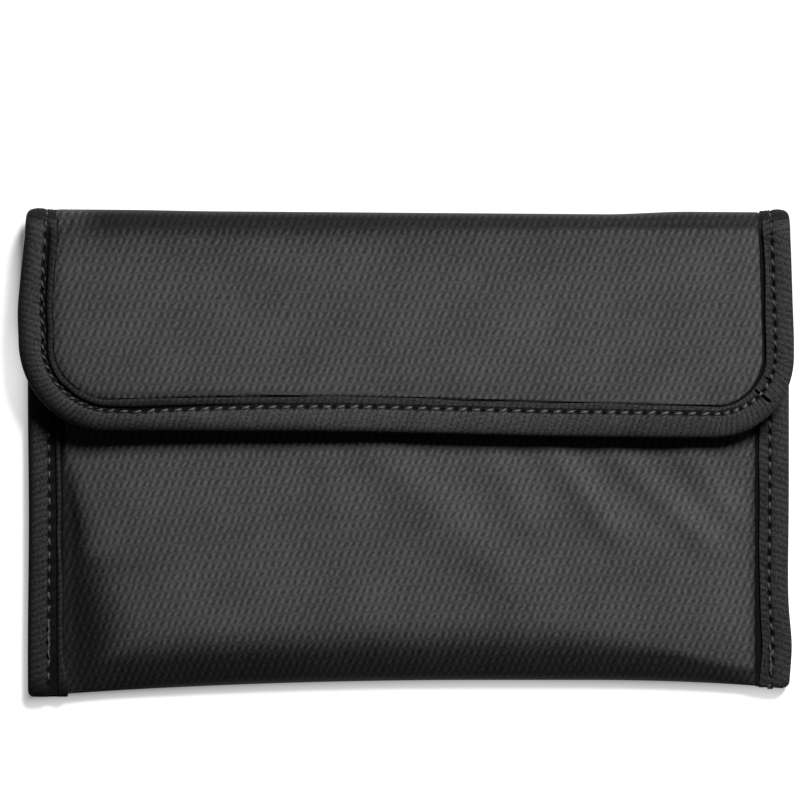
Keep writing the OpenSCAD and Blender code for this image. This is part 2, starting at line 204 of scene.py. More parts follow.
def cloth_sheet(name, outer, run, thickness, material, hollow=None, **kwargs):
    """A thin closed shell: outer is a grid of points whose normals point into the shell."""
    rows, cols = outer.shape[:2]
    inner = outer + surface_normals(outer) * thickness
    n = rows * cols
    faces = grid_faces(rows, cols, 0, True) + grid_faces(rows, cols, n, False)
    loop = (list(range(cols)) + [r * cols + cols - 1 for r in range(1, rows)]
            + [(rows - 1) * cols + c for c in range(cols - 2, -1, -1)]
            + [r * cols for r in range(rows - 2, 0, -1)])
    for a, b in zip(loop, loop[1:] + loop[:1]):
        faces.append((b, b + n, a + n, a))
    points = np.concatenate([outer.reshape(-1, 3), inner.reshape(-1, 3)])
    places = np.concatenate([run.reshape(-1, 2)] * 2)
    if hollow is not None:
        hollow = np.concatenate([hollow.ravel()] * 2)
    return make_piece(name, points, faces, material, run=places, hollow=hollow, **kwargs)


def swept_ring(name, rings, run, material, **kwargs):
    """A closed section swept through a list of rings, with flat ends."""
    count, k = rings.shape[:2]
    faces = grid_faces(count, k, 0, True, ring=True)
    faces.append(tuple(range(k)))
    faces.append(tuple((count - 1) * k + i for i in range(k - 1, -1, -1)))
    return make_piece(name, rings.reshape(-1, 3), faces, material, run=run.reshape(-1, 2), **kwargs)


# Shader groups and materials
TURN = 2 * math.pi


def new_group(name, inputs, outputs):
    """A shader node group with float or vector inputs and float outputs."""
    group = bpy.data.node_groups.new(name, "ShaderNodeTree")
    for label, kind, value in inputs:
        socket = group.interface.new_socket(label, in_out="INPUT", socket_type=kind)
        if value is not None:
            socket.default_value = value
    for label in outputs:
        group.interface.new_socket(label, in_out="OUTPUT", socket_type="NodeSocketFloat")
    return group, group.nodes.new("NodeGroupInput"), group.nodes.new("NodeGroupOutput")


def group_node(tree, group):
    """A node that holds a group."""
    node = tree.nodes.new("ShaderNodeGroup")
    node.node_tree = group
    return node


def math_node(tree, operation, *values, clamp=False):
    """A Math node whose inputs are sockets or numbers. Returns its output."""
    node = tree.nodes.new("ShaderNodeMath")
    node.operation = operation
    node.use_clamp = clamp
    for i, value in enumerate(values):
        if isinstance(value, (int, float)):
            node.inputs[i].default_value = value
        else:
            tree.links.new(value, node.inputs[i])
    return node.outputs[0]


def wave_node(tree, kind, turns):
    """A sine or cosine of a number of turns."""
    return math_node(tree, kind, math_node(tree, "MULTIPLY", turns, TURN))


def noise_node(tree, vector, scale, detail=2.0, output="Fac"):
    node = tree.nodes.new("ShaderNodeTexNoise")
    node.inputs["Scale"].default_value = scale
    node.inputs["Detail"].default_value = detail
    tree.links.new(vector, node.inputs["Vector"])
    return node.outputs[output]


def split_node(tree, vector):
    """Outputs for the three parts of a vector."""
    node = tree.nodes.new("ShaderNodeSeparateXYZ")
    tree.links.new(vector, node.inputs[0])
    return node.outputs


def range_node(tree, value, given, wanted):
    """A Map Range node from one pair of limits to another."""
    node = tree.nodes.new("ShaderNodeMapRange")
    for label, limit in zip(("From Min", "From Max", "To Min", "To Max"), (*given, *wanted)):
        node.inputs[label].default_value = limit
    tree.links.new(value, node.inputs["Value"])
    return node.outputs[0]


FLOAT_WANDER = (0.22, (1.6, 1.6, 0.0))   # how often the lattice of floats wanders, and how far in millimetres
FLOAT_RISE, FLOAT_KNOT, FLOAT_SWING = 0.36, 0.28, 1.4   # relief of floats, of their knots and of uneven yarns
FLOAT_YARN, FLOAT_TONE = 1.1, 0.06       # scales of the yarns' unevenness and of the cloth's slow tone


def build_float_weave():
    """Brick lattice of raised yarn floats, leaning to one side, with uneven yarns."""
    group, start, end = new_group(
        "float_weave",
        [("Place", "NodeSocketVector", None), ("Across", "NodeSocketFloat", 2.19),
         ("Rows", "NodeSocketFloat", 5.42), ("Lean", "NodeSocketFloat", 0.62),
         ("Uneven", "NodeSocketFloat", 0.5)],
        ["Height", "Tone"])
    place, lean = start.outputs["Place"], start.outputs["Lean"]
    scale, reach = FLOAT_WANDER
    shift = group.nodes.new("ShaderNodeVectorMath")
    shift.operation = "MULTIPLY_ADD"
    shift.inputs[1].default_value = reach
    group.links.new(noise_node(group, place, scale, output="Color"), shift.inputs[0])
    group.links.new(place, shift.inputs[2])
    parts = split_node(group, shift.outputs[0])
    u = math_node(group, "DIVIDE", parts[0], start.outputs["Across"])
    v = math_node(group, "DIVIDE", parts[1], start.outputs["Rows"])
    right = wave_node(group, "COSINE", math_node(group, "ADD", u, v))
    left = wave_node(group, "COSINE", math_node(group, "SUBTRACT", u, v))
    knot = wave_node(group, "COSINE", math_node(group, "ADD", u, math_node(group, "MULTIPLY", v, 3.0)))
    other = math_node(group, "SUBTRACT", 1.0, lean)
    lattice = math_node(group, "ADD", math_node(group, "MULTIPLY", right, lean),
                        math_node(group, "MULTIPLY", left, other))
    lattice = math_node(group, "ADD", lattice, math_node(group, "MULTIPLY", knot, FLOAT_KNOT))
    yarn = math_node(group, "SUBTRACT", noise_node(group, place, FLOAT_YARN, 3.0), 0.5)
    swing = math_node(group, "MULTIPLY", yarn, start.outputs["Uneven"])
    raised = math_node(group, "MULTIPLY_ADD", lattice, FLOAT_RISE, 0.5)
    height = math_node(group, "ADD", raised, math_node(group, "MULTIPLY", swing, FLOAT_SWING), clamp=True)
    group.links.new(height, end.inputs["Height"])
    group.links.new(noise_node(group, place, FLOAT_TONE, 3.0), end.inputs["Tone"])
    return group


RIB_WANDER, RIB_YARN, RIB_TONE = 0.35, 1.5, 0.12   # scales of the ribs' wander, yarns and slow tone
RIB_SWING = 1.5                                    # relief of uneven yarns


def build_rib_weave():
    """Cross ribs of a woven tape, slightly uneven, with a fine yarn grain."""
    group, start, end = new_group(
        "rib_weave",
        [("Place", "NodeSocketVector", None), ("Pitch", "NodeSocketFloat", 1.0),
         ("Slant", "NodeSocketFloat", 0.25), ("Ribs", "NodeSocketFloat", 0.28),
         ("Uneven", "NodeSocketFloat", 0.6)],
        ["Height", "Tone"])
    place = start.outputs["Place"]
    parts = split_node(group, place)
    lean = math_node(group, "MULTIPLY", parts[1], start.outputs["Slant"])
    along = math_node(group, "ADD", parts[0], lean)
    along = math_node(group, "ADD", along, noise_node(group, place, RIB_WANDER))
    rib = wave_node(group, "SINE", math_node(group, "DIVIDE", along, start.outputs["Pitch"]))
    yarn = math_node(group, "SUBTRACT", noise_node(group, place, RIB_YARN, 3.0), 0.5)
    swing = math_node(group, "MULTIPLY", yarn, start.outputs["Uneven"])
    raised = math_node(group, "MULTIPLY_ADD", rib, start.outputs["Ribs"], 0.5)
    height = math_node(group, "ADD", raised, math_node(group, "MULTIPLY", swing, RIB_SWING), clamp=True)
    group.links.new(height, end.inputs["Height"])
    group.links.new(noise_node(group, place, RIB_TONE, 3.0), end.inputs["Tone"])
    return group


PLAIN_RISE, PLAIN_SWING = 0.35, 0.5   # relief of the plain weave and of its uneven yarns
PLAIN_YARN, PLAIN_TONE = 0.9, 0.05    # scales of that unevenness and of the slow tone


def build_plain_weave():
    """Fine plain weave of a lining or film."""
    group, start, end = new_group(
        "plain_weave",
        [("Place", "NodeSocketVector", None), ("Pitch", "NodeSocketFloat", 0.7)],
        ["Height", "Tone"])
    place = start.outputs["Place"]
    parts = split_node(group, place)
    warp, weft = (wave_node(group, "SINE", math_node(group, "DIVIDE", parts[axis], start.outputs["Pitch"]))
                  for axis in (0, 1))
    raised = math_node(group, "MULTIPLY_ADD", math_node(group, "MULTIPLY", warp, weft), PLAIN_RISE, 0.5)
    yarn = math_node(group, "SUBTRACT", noise_node(group, place, PLAIN_YARN), 0.5)
    height = math_node(group, "ADD", raised, math_node(group, "MULTIPLY", yarn, PLAIN_SWING), clamp=True)
    group.links.new(height, end.inputs["Height"])
    group.links.new(noise_node(group, place, PLAIN_TONE, 3.0), end.inputs["Tone"])
    return group


SEAM_DIPS = 0.4              # height of the weave below which the painted shade is darker than above, in a seam's soft edge


def build_seam_shade():
    """Painted shade of a seam's groove and of other shaded places, read from the mesh; halfway into it the
    dips of the weave are darker than its yarns.
    """
    group, start, end = new_group("seam_shade", [("Height", "NodeSocketFloat", 0.5)], ["Deep", "Share"])
    hollow = group.nodes.new("ShaderNodeAttribute")
    hollow.attribute_name = "hollow"
    deep = hollow.outputs["Fac"]
    half = math_node(group, "MULTIPLY", deep, math_node(group, "SUBTRACT", 1.0, deep))
    dips = math_node(group, "SUBTRACT", SEAM_DIPS, start.outputs["Height"])
    share = math_node(group, "ADD", deep, math_node(group, "MULTIPLY", half, dips), clamp=True)
    group.links.new(deep, end.inputs["Deep"])
    group.links.new(share, end.inputs["Share"])
    return group


FLOAT_WEAVE = build_float_weave()
RIB_WEAVE = build_rib_weave()
PLAIN_WEAVE = build_plain_weave()
SEAM_SHADE = build_seam_shade()
PAINTED_SHADE_COLOUR = (0.0012, 0.0012, 0.0012)   # painted shade: the colour that cloth deep in a seam and in other shaded places is mixed towards
TONE_SWING = 0.5             # how far the slow tone shifts a material's colour
SHEEN_ROUGHNESS = 0.4


def woven_material(name, group, values, dark, light, rough, relief, span=(0.15, 0.85), sheen=0.0,
                   metallic=0.0, specular=0.5):
    """A material whose colour, roughness and relief follow a weave group; painted shade from the mesh darkens
    it in seams and other shaded places.
    """
    material = bpy.data.materials.new(name)
    material.use_nodes = True
    tree = material.node_tree
    shader = tree.nodes["Principled BSDF"]
    place = tree.nodes.new("ShaderNodeUVMap")
    place.uv_map = "run"
    weave = group_node(tree, group)
    for label, value in values.items():
        weave.inputs[label].default_value = value
    tree.links.new(place.outputs[0], weave.inputs["Place"])
    height = weave.outputs["Height"]
    toned = math_node(tree, "MULTIPLY_ADD", weave.outputs["Tone"], TONE_SWING, -TONE_SWING / 2)
    colours = tree.nodes.new("ShaderNodeValToRGB")
    for element, colour, position in zip(colours.color_ramp.elements, (dark, light), span):
        element.color = (*colour, 1)
        element.position = position
    tree.links.new(math_node(tree, "ADD", height, toned, clamp=True), colours.inputs[0])
    seam = group_node(tree, SEAM_SHADE)
    tree.links.new(height, seam.inputs["Height"])
    # painted shade: the weave's colour is mixed towards near-black where the mesh carries painted shade
    shade = tree.nodes.new("ShaderNodeMix")
    shade.data_type = "RGBA"
    shade.inputs["B"].default_value = (*PAINTED_SHADE_COLOUR, 1)
    tree.links.new(seam.outputs["Share"], shade.inputs["Factor"])
    tree.links.new(colours.outputs[0], shade.inputs["A"])
    tree.links.new(shade.outputs["Result"], shader.inputs["Base Color"])
    polish_and_painted_shade = math_node(tree, "SUBTRACT", height, seam.outputs["Deep"], clamp=True)
    tree.links.new(range_node(tree, polish_and_painted_shade, (0.0, 1.0), rough[::-1]), shader.inputs["Roughness"])
    bump = tree.nodes.new("ShaderNodeBump")
    bump.inputs["Distance"].default_value = relief * MM
    tree.links.new(height, bump.inputs["Height"])
    tree.links.new(bump.outputs[0], shader.inputs["Normal"])
    shader.inputs["Metallic"].default_value = metallic
    shader.inputs["Specular IOR Level"].default_value = specular
    shader.inputs["Sheen Weight"].default_value = sheen
    shader.inputs["Sheen Roughness"].default_value = SHEEN_ROUGHNESS
    return material


def grey(level, tint=(1.0, 1.0, 1.02)):
    return tuple(level * t for t in tint)


outer_cloth = woven_material(
    "outer_cloth", FLOAT_WEAVE, {"Across": 2.19, "Rows": 5.42, "Lean": 0.68, "Uneven": 0.8},
    grey(0.031), grey(0.081), (0.52, 0.66), 0.06, span=(0.2, 0.9), specular=0.1)
binding_tape = woven_material(
    "binding_tape", RIB_WEAVE, {"Pitch": 1.9, "Slant": 0.35, "Ribs": 0.15, "Uneven": 1.2},
    grey(0.018), grey(0.062), (0.55, 0.8), 0.06, specular=0.1)
lining_cloth = woven_material(
    "lining_cloth", PLAIN_WEAVE, {"Pitch": 0.8}, grey(0.055), grey(0.105), (0.45, 0.7), 0.06)
shield_foil = woven_material(
    "shield_foil", PLAIN_WEAVE, {"Pitch": 3.0}, grey(0.50), grey(0.62), (0.25, 0.4), 0.03, metallic=1.0)
sewing_thread = woven_material(
    "sewing_thread", RIB_WEAVE, {"Pitch": 0.5, "Slant": 1.2, "Uneven": 0.4},
    grey(0.04), grey(0.14), (0.40, 0.60), 0.04)
hook_plastic = woven_material(
    "hook_plastic", PLAIN_WEAVE, {"Pitch": 1.5}, grey(0.010), grey(0.028), (0.35, 0.6), 0.10)
loop_nap = woven_material(
    "loop_nap", FLOAT_WEAVE, {"Across": 0.9, "Rows": 1.7, "Lean": 0.5, "Uneven": 1.6},
    grey(0.012), grey(0.040), (0.7, 0.95), 0.35, sheen=0.25)
coil_plastic = woven_material(
    "coil_plastic", PLAIN_WEAVE, {"Pitch": 1.4}, grey(0.018), grey(0.032), (0.3, 0.45), 0.02)
zip_metal = woven_material(
    "zip_metal", PLAIN_WEAVE, {"Pitch": 2.3}, grey(0.07), grey(0.10), (0.28, 0.42), 0.02, metallic=0.6)
zip_tape = woven_material(
    "zip_tape", RIB_WEAVE, {"Pitch": 0.9, "Slant": 0.0, "Uneven": 0.5},
    grey(0.020), grey(0.050), (0.5, 0.75), 0.08)


# The flap's form
SIDE_STEPS, CORNER_STEPS, LOWER_STEPS = 60, 80, 60   # steps of the outline at a side, a corner and below
LOWER_EASE = 12.0            # length over which the lower edge leaves the corner's level
BULGE_STEPS, BULGE_EVEN = 201, 41   # steps of the bulge's curve, and how many of them even out each place
TILT_SPAN = (-40.0, 80.0)    # where along X the lower edge starts and ends its fall to the right
FLAP_INSET = 0.9             # how far the cloth's edge lies inside the tape's
BELOW_TAPE = 0.8             # how far the cloth lies below the tape's top
LAYER_GAP = 0.1              # clearance between two layers


def flap_share(y):
    """Share of the flap's drop at a height, 0 at the hinge."""
    return np.clip((HINGE_Y - y) / (HINGE_Y - FLAP_EDGE_Y), 0, 1)


def flap_down(x, y):
    """How far the flap lies below the level of the top fold."""
    return smooth(flap_share(y)) * FLAP_DROOP * (np.abs(x) / HALF_W) ** 3


def flap_lower(x):
    """Lower edge of the flap, hanging a little lower to the right."""
    return FLAP_EDGE_Y - FLAP_HANG - FLAP_TILT * ramp(x, *TILT_SPAN)


def flap_bulge(share, side):
    """Bulge of a side edge, its measured places joined by an even curve."""
    spots = np.array(FLAP_BULGE[side])
    fine = np.linspace(0, 1, BULGE_STEPS)
    kernel = np.hanning(BULGE_EVEN) / np.hanning(BULGE_EVEN).sum()
    values = np.interp(fine, spots[:, 0], spots[:, 1])
    values = np.pad(values, BULGE_EVEN // 2, mode="reflect", reflect_type="odd")
    return np.interp(share, fine, np.convolve(values, kernel, "valid"))


def flap_outline(inset, side):
    """Half of the flap's outline from the hinge to the middle of its lower edge."""
    radius = FLAP_CORNER[side]
    lower = float(flap_lower(side * (HALF_W - radius)))
    centre_y = lower + radius
    centre_x = HALF_W + float(flap_bulge(flap_share(centre_y), side)) - radius
    ys = np.linspace(HINGE_Y, centre_y, SIDE_STEPS)
    reach = HALF_W + flap_bulge(flap_share(ys), side)
    sides = np.stack([side * (reach - inset), ys], 1)
    turns = np.radians(np.linspace(0, 90, CORNER_STEPS + 1)[1:])
    corner = np.stack([side * (centre_x + (radius - inset) * np.cos(turns)),
                       centre_y - (radius - inset) * np.sin(turns)], 1)
    xs = np.linspace(side * centre_x, 0, LOWER_STEPS)[1:]
    lower_line = lower + (flap_lower(xs) - lower) * smooth((centre_x - np.abs(xs)) / LOWER_EASE) + inset
    return np.concatenate([sides, corner, np.stack([xs, lower_line], 1)])


def flap_loop(inset):
    """The whole outline, from the left hinge end round to the right one."""
    left, right = flap_outline(inset, -1), flap_outline(inset, 1)
    return np.concatenate([left, right[-2::-1]])


def flap_ripple(x, y):
    """Slow unevenness of the flap's cloth."""
    return (0.22 * np.sin(x / 17.0 + y / 23.0) + 0.16 * np.sin(x / 29.0 - y / 13.0 + 1.3)
            + 0.10 * np.sin(x / 9.0 + 2.1) * np.sin(y / 11.0))


def run_length(path):
    """Length of a path from its start to each of its points."""
    steps = np.linalg.norm(np.diff(path, axis=0), axis=1)
    return np.concatenate([[0], np.cumsum(steps)])


def resample(path, step):
    """Points at even steps along a path."""
    length = run_length(path)
    count = max(int(round(length[-1] / step)), 2)
    at = np.linspace(0, length[-1], count + 1)
    return np.stack([np.interp(at, length, path[:, k]) for k in range(path.shape[1])], 1)


FLAP_LOOP = resample(flap_loop(0.0), 1.0)

# How the flap's tape is sewn: share of its run, distance of the stitches from the tape's outer edge,
# width of the tape and depth of the groove beside the stitches
FLAP_SEWING = np.array([
    (0.00, 6.1, 9.4, 0.9), (0.04, 6.7, 9.7, 1), (0.085, 7.4, 10.2, 1), (0.115, 7.0, 9.9, 1),
    (0.19, 6.6, 9.6, 1), (0.25, 6.0, 9.5, 1), (0.30, 6.7, 10.2, 0.9), (0.36, 7.3, 10.5, 0.6),
    (0.45, 7.6, 10.6, 0.35), (0.60, 7.4, 10.2, 0.3), (0.72, 7.4, 9.8, 0.3),
    (0.80, 6.9, 9.2, 0.3), (0.86, 5.8, 8.3, 0.1), (0.92, 5.6, 8.2, 0), (1.00, 5.7, 8.2, 0),
])
GAP, GAP_RIGHT = 0.35, 1.3   # gap between tape and cloth, and how wide it stands on the right
GAP_SPAN = (0.80, 0.86)      # shares of the run between which it widens


def by_share(table, share):
    """Values of a table at a share of the run, which is its first column."""
    return tuple(np.interp(share, table[:, 0], table[:, k]) for k in range(1, table.shape[1]))


def flap_sewing(share):
    """Stitch distance, tape width and groove at a share of the flap's run."""
    return by_share(FLAP_SEWING, share)


def seam_gap(share):
    return GAP + (GAP_RIGHT - GAP) * ramp(share, *GAP_SPAN)


def near_edge(x, y):
    """Distance of each point from the flap's outline and the share of the run at which it lies."""
    best, share = np.full(x.shape, 1e9), np.zeros(x.shape)
    for k, (px, py) in enumerate(FLAP_LOOP):
        apart = (x - px) ** 2 + (y - py) ** 2
        share = np.where(apart < best, k / (len(FLAP_LOOP) - 1), share)
        best = np.minimum(best, apart)
    return np.sqrt(best), share


# Share of the cloth's width that lies beside a tape, and columns there and between
EDGE_ZONE, EDGE_COLS, MIDDLE_COLS = 0.058, 44, 130


def cloth_columns():
    """Shares of the width at which the cloth has columns, close together beside the tapes."""
    return np.concatenate([np.linspace(0, EDGE_ZONE, EDGE_COLS, endpoint=False),
                           np.linspace(EDGE_ZONE, 1 - EDGE_ZONE, MIDDLE_COLS, endpoint=False),
                           np.linspace(1 - EDGE_ZONE, 1, EDGE_COLS + 1)])


def flap_grid(inset, fine=True):
    """Grid of places on the flap that follows its outline, with its run."""
    rows = np.arange(SIDE_STEPS + CORNER_STEPS)
    share = cloth_columns()
    if not fine:
        rows, share = np.append(rows[:-1:2], rows[-1]), np.append(share[:-1:2], share[-1])
    left, right = flap_outline(inset, -1)[rows], flap_outline(inset, 1)[rows]
    x = left[:, :1] * (1 - share) + right[:, :1] * share
    y = left[:, 1:] * (1 - share) + right[:, 1:] * share
    return x, y, np.stack([x, HINGE_Y - y], 2)


# Painted shade on the cloth over the top fold: values at the left and how they change to the right
FOLD_SPAN = (-60.0, 90.0)              # where along X that change starts and ends
FOLD_SHADE_BELOW = (0.30, -0.26, 6.0)         # just below the fold, its change, and length over which it dies out
FOLD_ROLLED = (0.60, 0.18)             # on the fold itself
FOLD_FROM, FOLD_OVER = (1.8, -2.2), (6.0, -3.5)   # how far down it reaches, and how softly it ends
FOLD_MOST = 0.95
FOLD_END, FOLD_END_LESS = (-90.0, -102.0), 0.6    # where it grows weaker at the far left, and by how much


def fold_painted_shade(x, down):
    """Painted shade over the top fold, dying out down the flap, stronger to the left."""
    side = ramp(x, *FOLD_SPAN)
    polish_and_painted_shade = (FOLD_SHADE_BELOW[0] + FOLD_SHADE_BELOW[1] * side) * np.exp(-np.maximum(down, 0) / FOLD_SHADE_BELOW[2])
    reach, over = FOLD_FROM[0] + FOLD_FROM[1] * side, FOLD_OVER[0] + FOLD_OVER[1] * side
    rolled = (FOLD_ROLLED[0] + FOLD_ROLLED[1] * side) * smooth((reach - down) / over)
    return np.clip(polish_and_painted_shade + rolled, 0, FOLD_MOST) * (1 - FOLD_END_LESS * ramp(x, *FOLD_END))


# Painted shade on the cloth where it turns down beside the left part of the tape: its amount, the distances
# from the tape at which it starts and is full, and the shares of the run at which it starts and is full
EDGE_SHADE, EDGE_SHADE_REACH, EDGE_SHADE_RUN = 0.42, (3.2, 0.8), (0.5, 0.25)
LINE_LESS, LINE_LESS_RUN = 0.45, (0.24, 0.18)   # the painted shade of the dark line between tape and cloth is weaker at the left
DEEPER = 0.2                 # how much deeper the cloth is drawn for each millimetre of a wider gap
DEEPER_SPAN = (-1.0, -0.2)   # distances from the tape's inner edge between which that grows
# Distances from the gap's inner side between which the seam draws the cloth down and is painted dark with
# shade
PULL_SPAN, LINE_SPAN = (0.15, -0.2), (0.1, -0.2)


def seam_sink(inside, share):
    """How far the seam draws the cloth down, at a distance from the tape's outer edge."""
    gap, edge = seam_gap(share), flap_sewing(share)[1]
    deeper = DEEPER * (gap - GAP) * ramp(inside - edge, *DEEPER_SPAN)
    return (SEAM_DIP + deeper) * ramp(inside - edge - gap, *PULL_SPAN)


def seam_hollow(inside, share):
    """Painted shade of the cloth in the seam beside the tape, by how deep a place lies in it."""
    apart = inside - flap_sewing(share)[1] - seam_gap(share)
    soft = EDGE_SHADE * ramp(apart, *EDGE_SHADE_REACH) * ramp(share, *EDGE_SHADE_RUN)
    line = 1 - LINE_LESS * ramp(share, *LINE_LESS_RUN)
    return np.maximum(line * ramp(apart, *LINE_SPAN), soft)


SWELL_FROM, SWELL_OVER = 0.4, 6.5   # where beside the tape the cloth starts to swell, and over which length
RIPPLE_OVER = 14.0           # length below the hinge over which the cloth grows uneven


def seam_swell(inside, share):
    """Share of the cloth's swell at a distance from the tape's outer edge."""
    return smooth((inside - flap_sewing(share)[1] - seam_gap(share) + SWELL_FROM) / SWELL_OVER)


def flap_cloth_height(x, y):
    """Outer face of the flap's cloth: drawn down beside the bindings, swollen between them."""
    inside, share = near_edge(x, y)
    base = FLAP_TOP - BELOW_TAPE - flap_down(x, y)
    ripple = flap_ripple(x, y) * smooth((HINGE_Y - y) / RIPPLE_OVER)
    descent = FOLD_TILT * FOLD_SPREAD * (1 - np.exp(-(HINGE_Y - y) / FOLD_SPREAD))
    return base + seam_swell(inside, share) * (PUFF + ripple - descent) - seam_sink(inside, share)


LINING_SAG, LINING_OVER = 0.15, 8.0   # how far the lining hangs free of the cloth, and length beside the tape
PLEAT_COVER = 0.55           # how much further it hangs near the fold, to lie over its pleat when open
PLEAT_SPAN = (-14.0, -4.0)   # heights from the hinge between which that grows


def make_flap():
    x, y, run = flap_grid(FLAP_INSET)
    face = np.stack([x, y, flap_cloth_height(x, y)], 2)
    # painted shade in the seams and over the top fold
    seam = np.maximum(seam_hollow(*near_edge(x, y)), fold_painted_shade(x, HINGE_Y - y))
    cloth = cloth_sheet("flap_cloth", face, run, CLOTH_T, outer_cloth, hollow=seam, body="flap",
                        nodes=("flap_panel",), slot="outer_cloth")
    x, y, run = flap_grid(FLAP_INSET, fine=False)
    face = np.stack([x, y, flap_cloth_height(x, y)], 2)
    foil = cloth_sheet("flap_foil", face - [0, 0, CLOTH_T + LAYER_GAP], run, FOIL_T, shield_foil, body="flap",
                       nodes=("flap_shield",), slot="shield_foil")
    clear = smooth((near_edge(x, y)[0] - TAPE_W) / LINING_OVER)
    sag = clear * (LINING_SAG + PLEAT_COVER * ramp(y - HINGE_Y, *PLEAT_SPAN))
    level = np.minimum(FLAP_TOP - BELOW_TAPE - flap_down(x, y) - sag, face[:, :, 2])
    under = np.stack([x, y, level - CLOTH_T - FOIL_T - 2 * LAYER_GAP], 2)
    lining = cloth_sheet("flap_lining_cloth", under, run, LINING_T, lining_cloth, body="flap",
                         nodes=("flap_lining",), slot="lining_cloth")


# Binding tape and stitches
STITCH_JOINTS = 9            # points along a stitch
STITCH_ARC, STITCH_SINK = 0.45, 0.25   # rise of a stitch's middle and how deep its ends lie
STITCH_STRAY = 0.15          # how far stitches stray sideways in an even seam
UP, DOWN = (0, 0, 1.0), (0, 0, -1.0)


class Bag:
    """Points, faces, cloth places and painted shade of many small solids kept in one mesh."""

    def __init__(self):
        self.points, self.faces, self.places, self.shade_paints = [], [], [], []

    def tube(self, centre, radius, up, sides=8, along=None, offset=0.0, closed=False, shade_paint=0.0):
        """A tube round a line of points; up points away from the cloth."""
        centre, up = np.asarray(centre, float), np.asarray(up, float)
        count = len(centre)
        radius = np.broadcast_to(radius, count)
        if closed:
            tangent = np.roll(centre, -1, axis=0) - np.roll(centre, 1, axis=0)
        else:
            tangent = np.gradient(centre, axis=0)
        tangent /= np.linalg.norm(tangent, axis=1, keepdims=True)
        beside = np.cross(tangent, up)
        beside /= np.maximum(np.linalg.norm(beside, axis=1, keepdims=True), 1e-9)
        above = np.cross(beside, tangent)
        first = len(self.points)
        along = run_length(centre) if along is None else along
        for j in range(count):
            for k in range(sides):
                turn = TURN * k / sides
                out = beside[j] * math.cos(turn) + above[j] * math.sin(turn)
                self.points.append(centre[j] + radius[j] * out)
                self.places.append((along[j], turn * radius[j] + offset))
                self.shade_paints.append(shade_paint)
        self.faces += grid_faces(count, sides, first, False, ring=True)
        head = [first + k for k in range(sides)]
        tail = [first + (count - 1) * sides + k for k in range(sides)]
        if closed:
            for k in range(sides):
                after = (k + 1) % sides
                self.faces.append((tail[k], tail[after], head[after], head[k]))
        else:
            self.faces += [tuple(head[::-1]), tuple(tail)]

    def loft(self, rings):
        """A solid through closed rings of equal length."""
        rings = np.asarray(rings, float)
        count, k = rings.shape[:2]
        first = len(self.points)
        self.points += list(rings.reshape(-1, 3))
        self.places += [(p[0], p[1]) for p in rings.reshape(-1, 3)]
        self.shade_paints += [0.0] * (count * k)
        self.faces += grid_faces(count, k, first, False, ring=True)
        self.faces.append(tuple(first + i for i in range(k - 1, -1, -1)))
        self.faces.append(tuple(first + (count - 1) * k + i for i in range(k)))

    def piece(self, name, material, body, nodes, slot):
        return make_piece(name, self.points, self.faces, material, body, nodes, slot, self.places, self.shade_paints)


def add_stitches(bag, path, run, up, loose=None, shade_paint=None, slant=0.0):
    """Short thread arcs along a path, each diving into the cloth at its ends.

    loose gives how far a stitch strays, and the shade function how much painted shade dims it, both by its
    place in the run.
    """
    up = np.broadcast_to(np.asarray(up, float), path.shape)
    arc = np.sin(np.linspace(0, np.pi, STITCH_JOINTS)) ** 0.6
    swell = THREAD_R * (0.75 + 0.3 * np.sin(np.linspace(0, np.pi, STITCH_JOINTS)))
    first = math.ceil(run[0] / STITCH_PITCH)
    for i in range(int(run[-1] / STITCH_PITCH)):
        at = np.linspace(STITCH_GAP, STITCH_PITCH - STITCH_GAP, STITCH_JOINTS) + (first + i) * STITCH_PITCH
        if at[-1] > run[-1]:
            break
        centre = np.stack([np.interp(at, run, path[:, k]) for k in range(3)], 1)
        out = np.stack([np.interp(at, run, up[:, k]) for k in range(3)], 1)
        beside = np.cross(np.gradient(centre, axis=0), out)
        beside /= np.linalg.norm(beside, axis=1, keepdims=True)
        stray = STITCH_STRAY if loose is None else loose(at[0])
        lean = slant + stray * (0.8 * math.sin(i * 1.7) + 0.4 * math.sin(i * 4.1))
        centre = centre + out * (STITCH_ARC * arc - STITCH_SINK)[:, None]
        centre = centre + beside * np.linspace(-lean, lean, STITCH_JOINTS)[:, None]
        bag.tube(centre, swell, out, along=at, offset=i * THREAD_R, shade_paint=shade_paint(at[0]) if shade_paint else 0.0)


def make_stitches(name, path, run, body, nodes, up=UP, shade_paint=None):
    bag = Bag()
    add_stitches(bag, path, run, up, shade_paint=shade_paint)
    return bag.piece(name, sewing_thread, body, nodes, "thread")


# How the body's tapes are sewn: distance of the stitches from the outer edge, width of the tape, groove
SIDE_SEWING = {-1: (6.3, 9.5, 0.9), 1: (5.9, 8.9, 0.0)}
GROOVE_DEPTH = (0.35, 0.95)  # how far the tape sinks beside its stitches, and how much more in a groove
STRIP_DROP = (0.42, 0.1)     # the same for the strip along the tape's inner edge
GROOVE_SIDE = 0.9            # distance of that strip from the stitches
SIDE_GROOVE_W, FLAP_GROOVE_W = 1.1, 0.45   # how much wider a deep groove is, on the body and on the flap


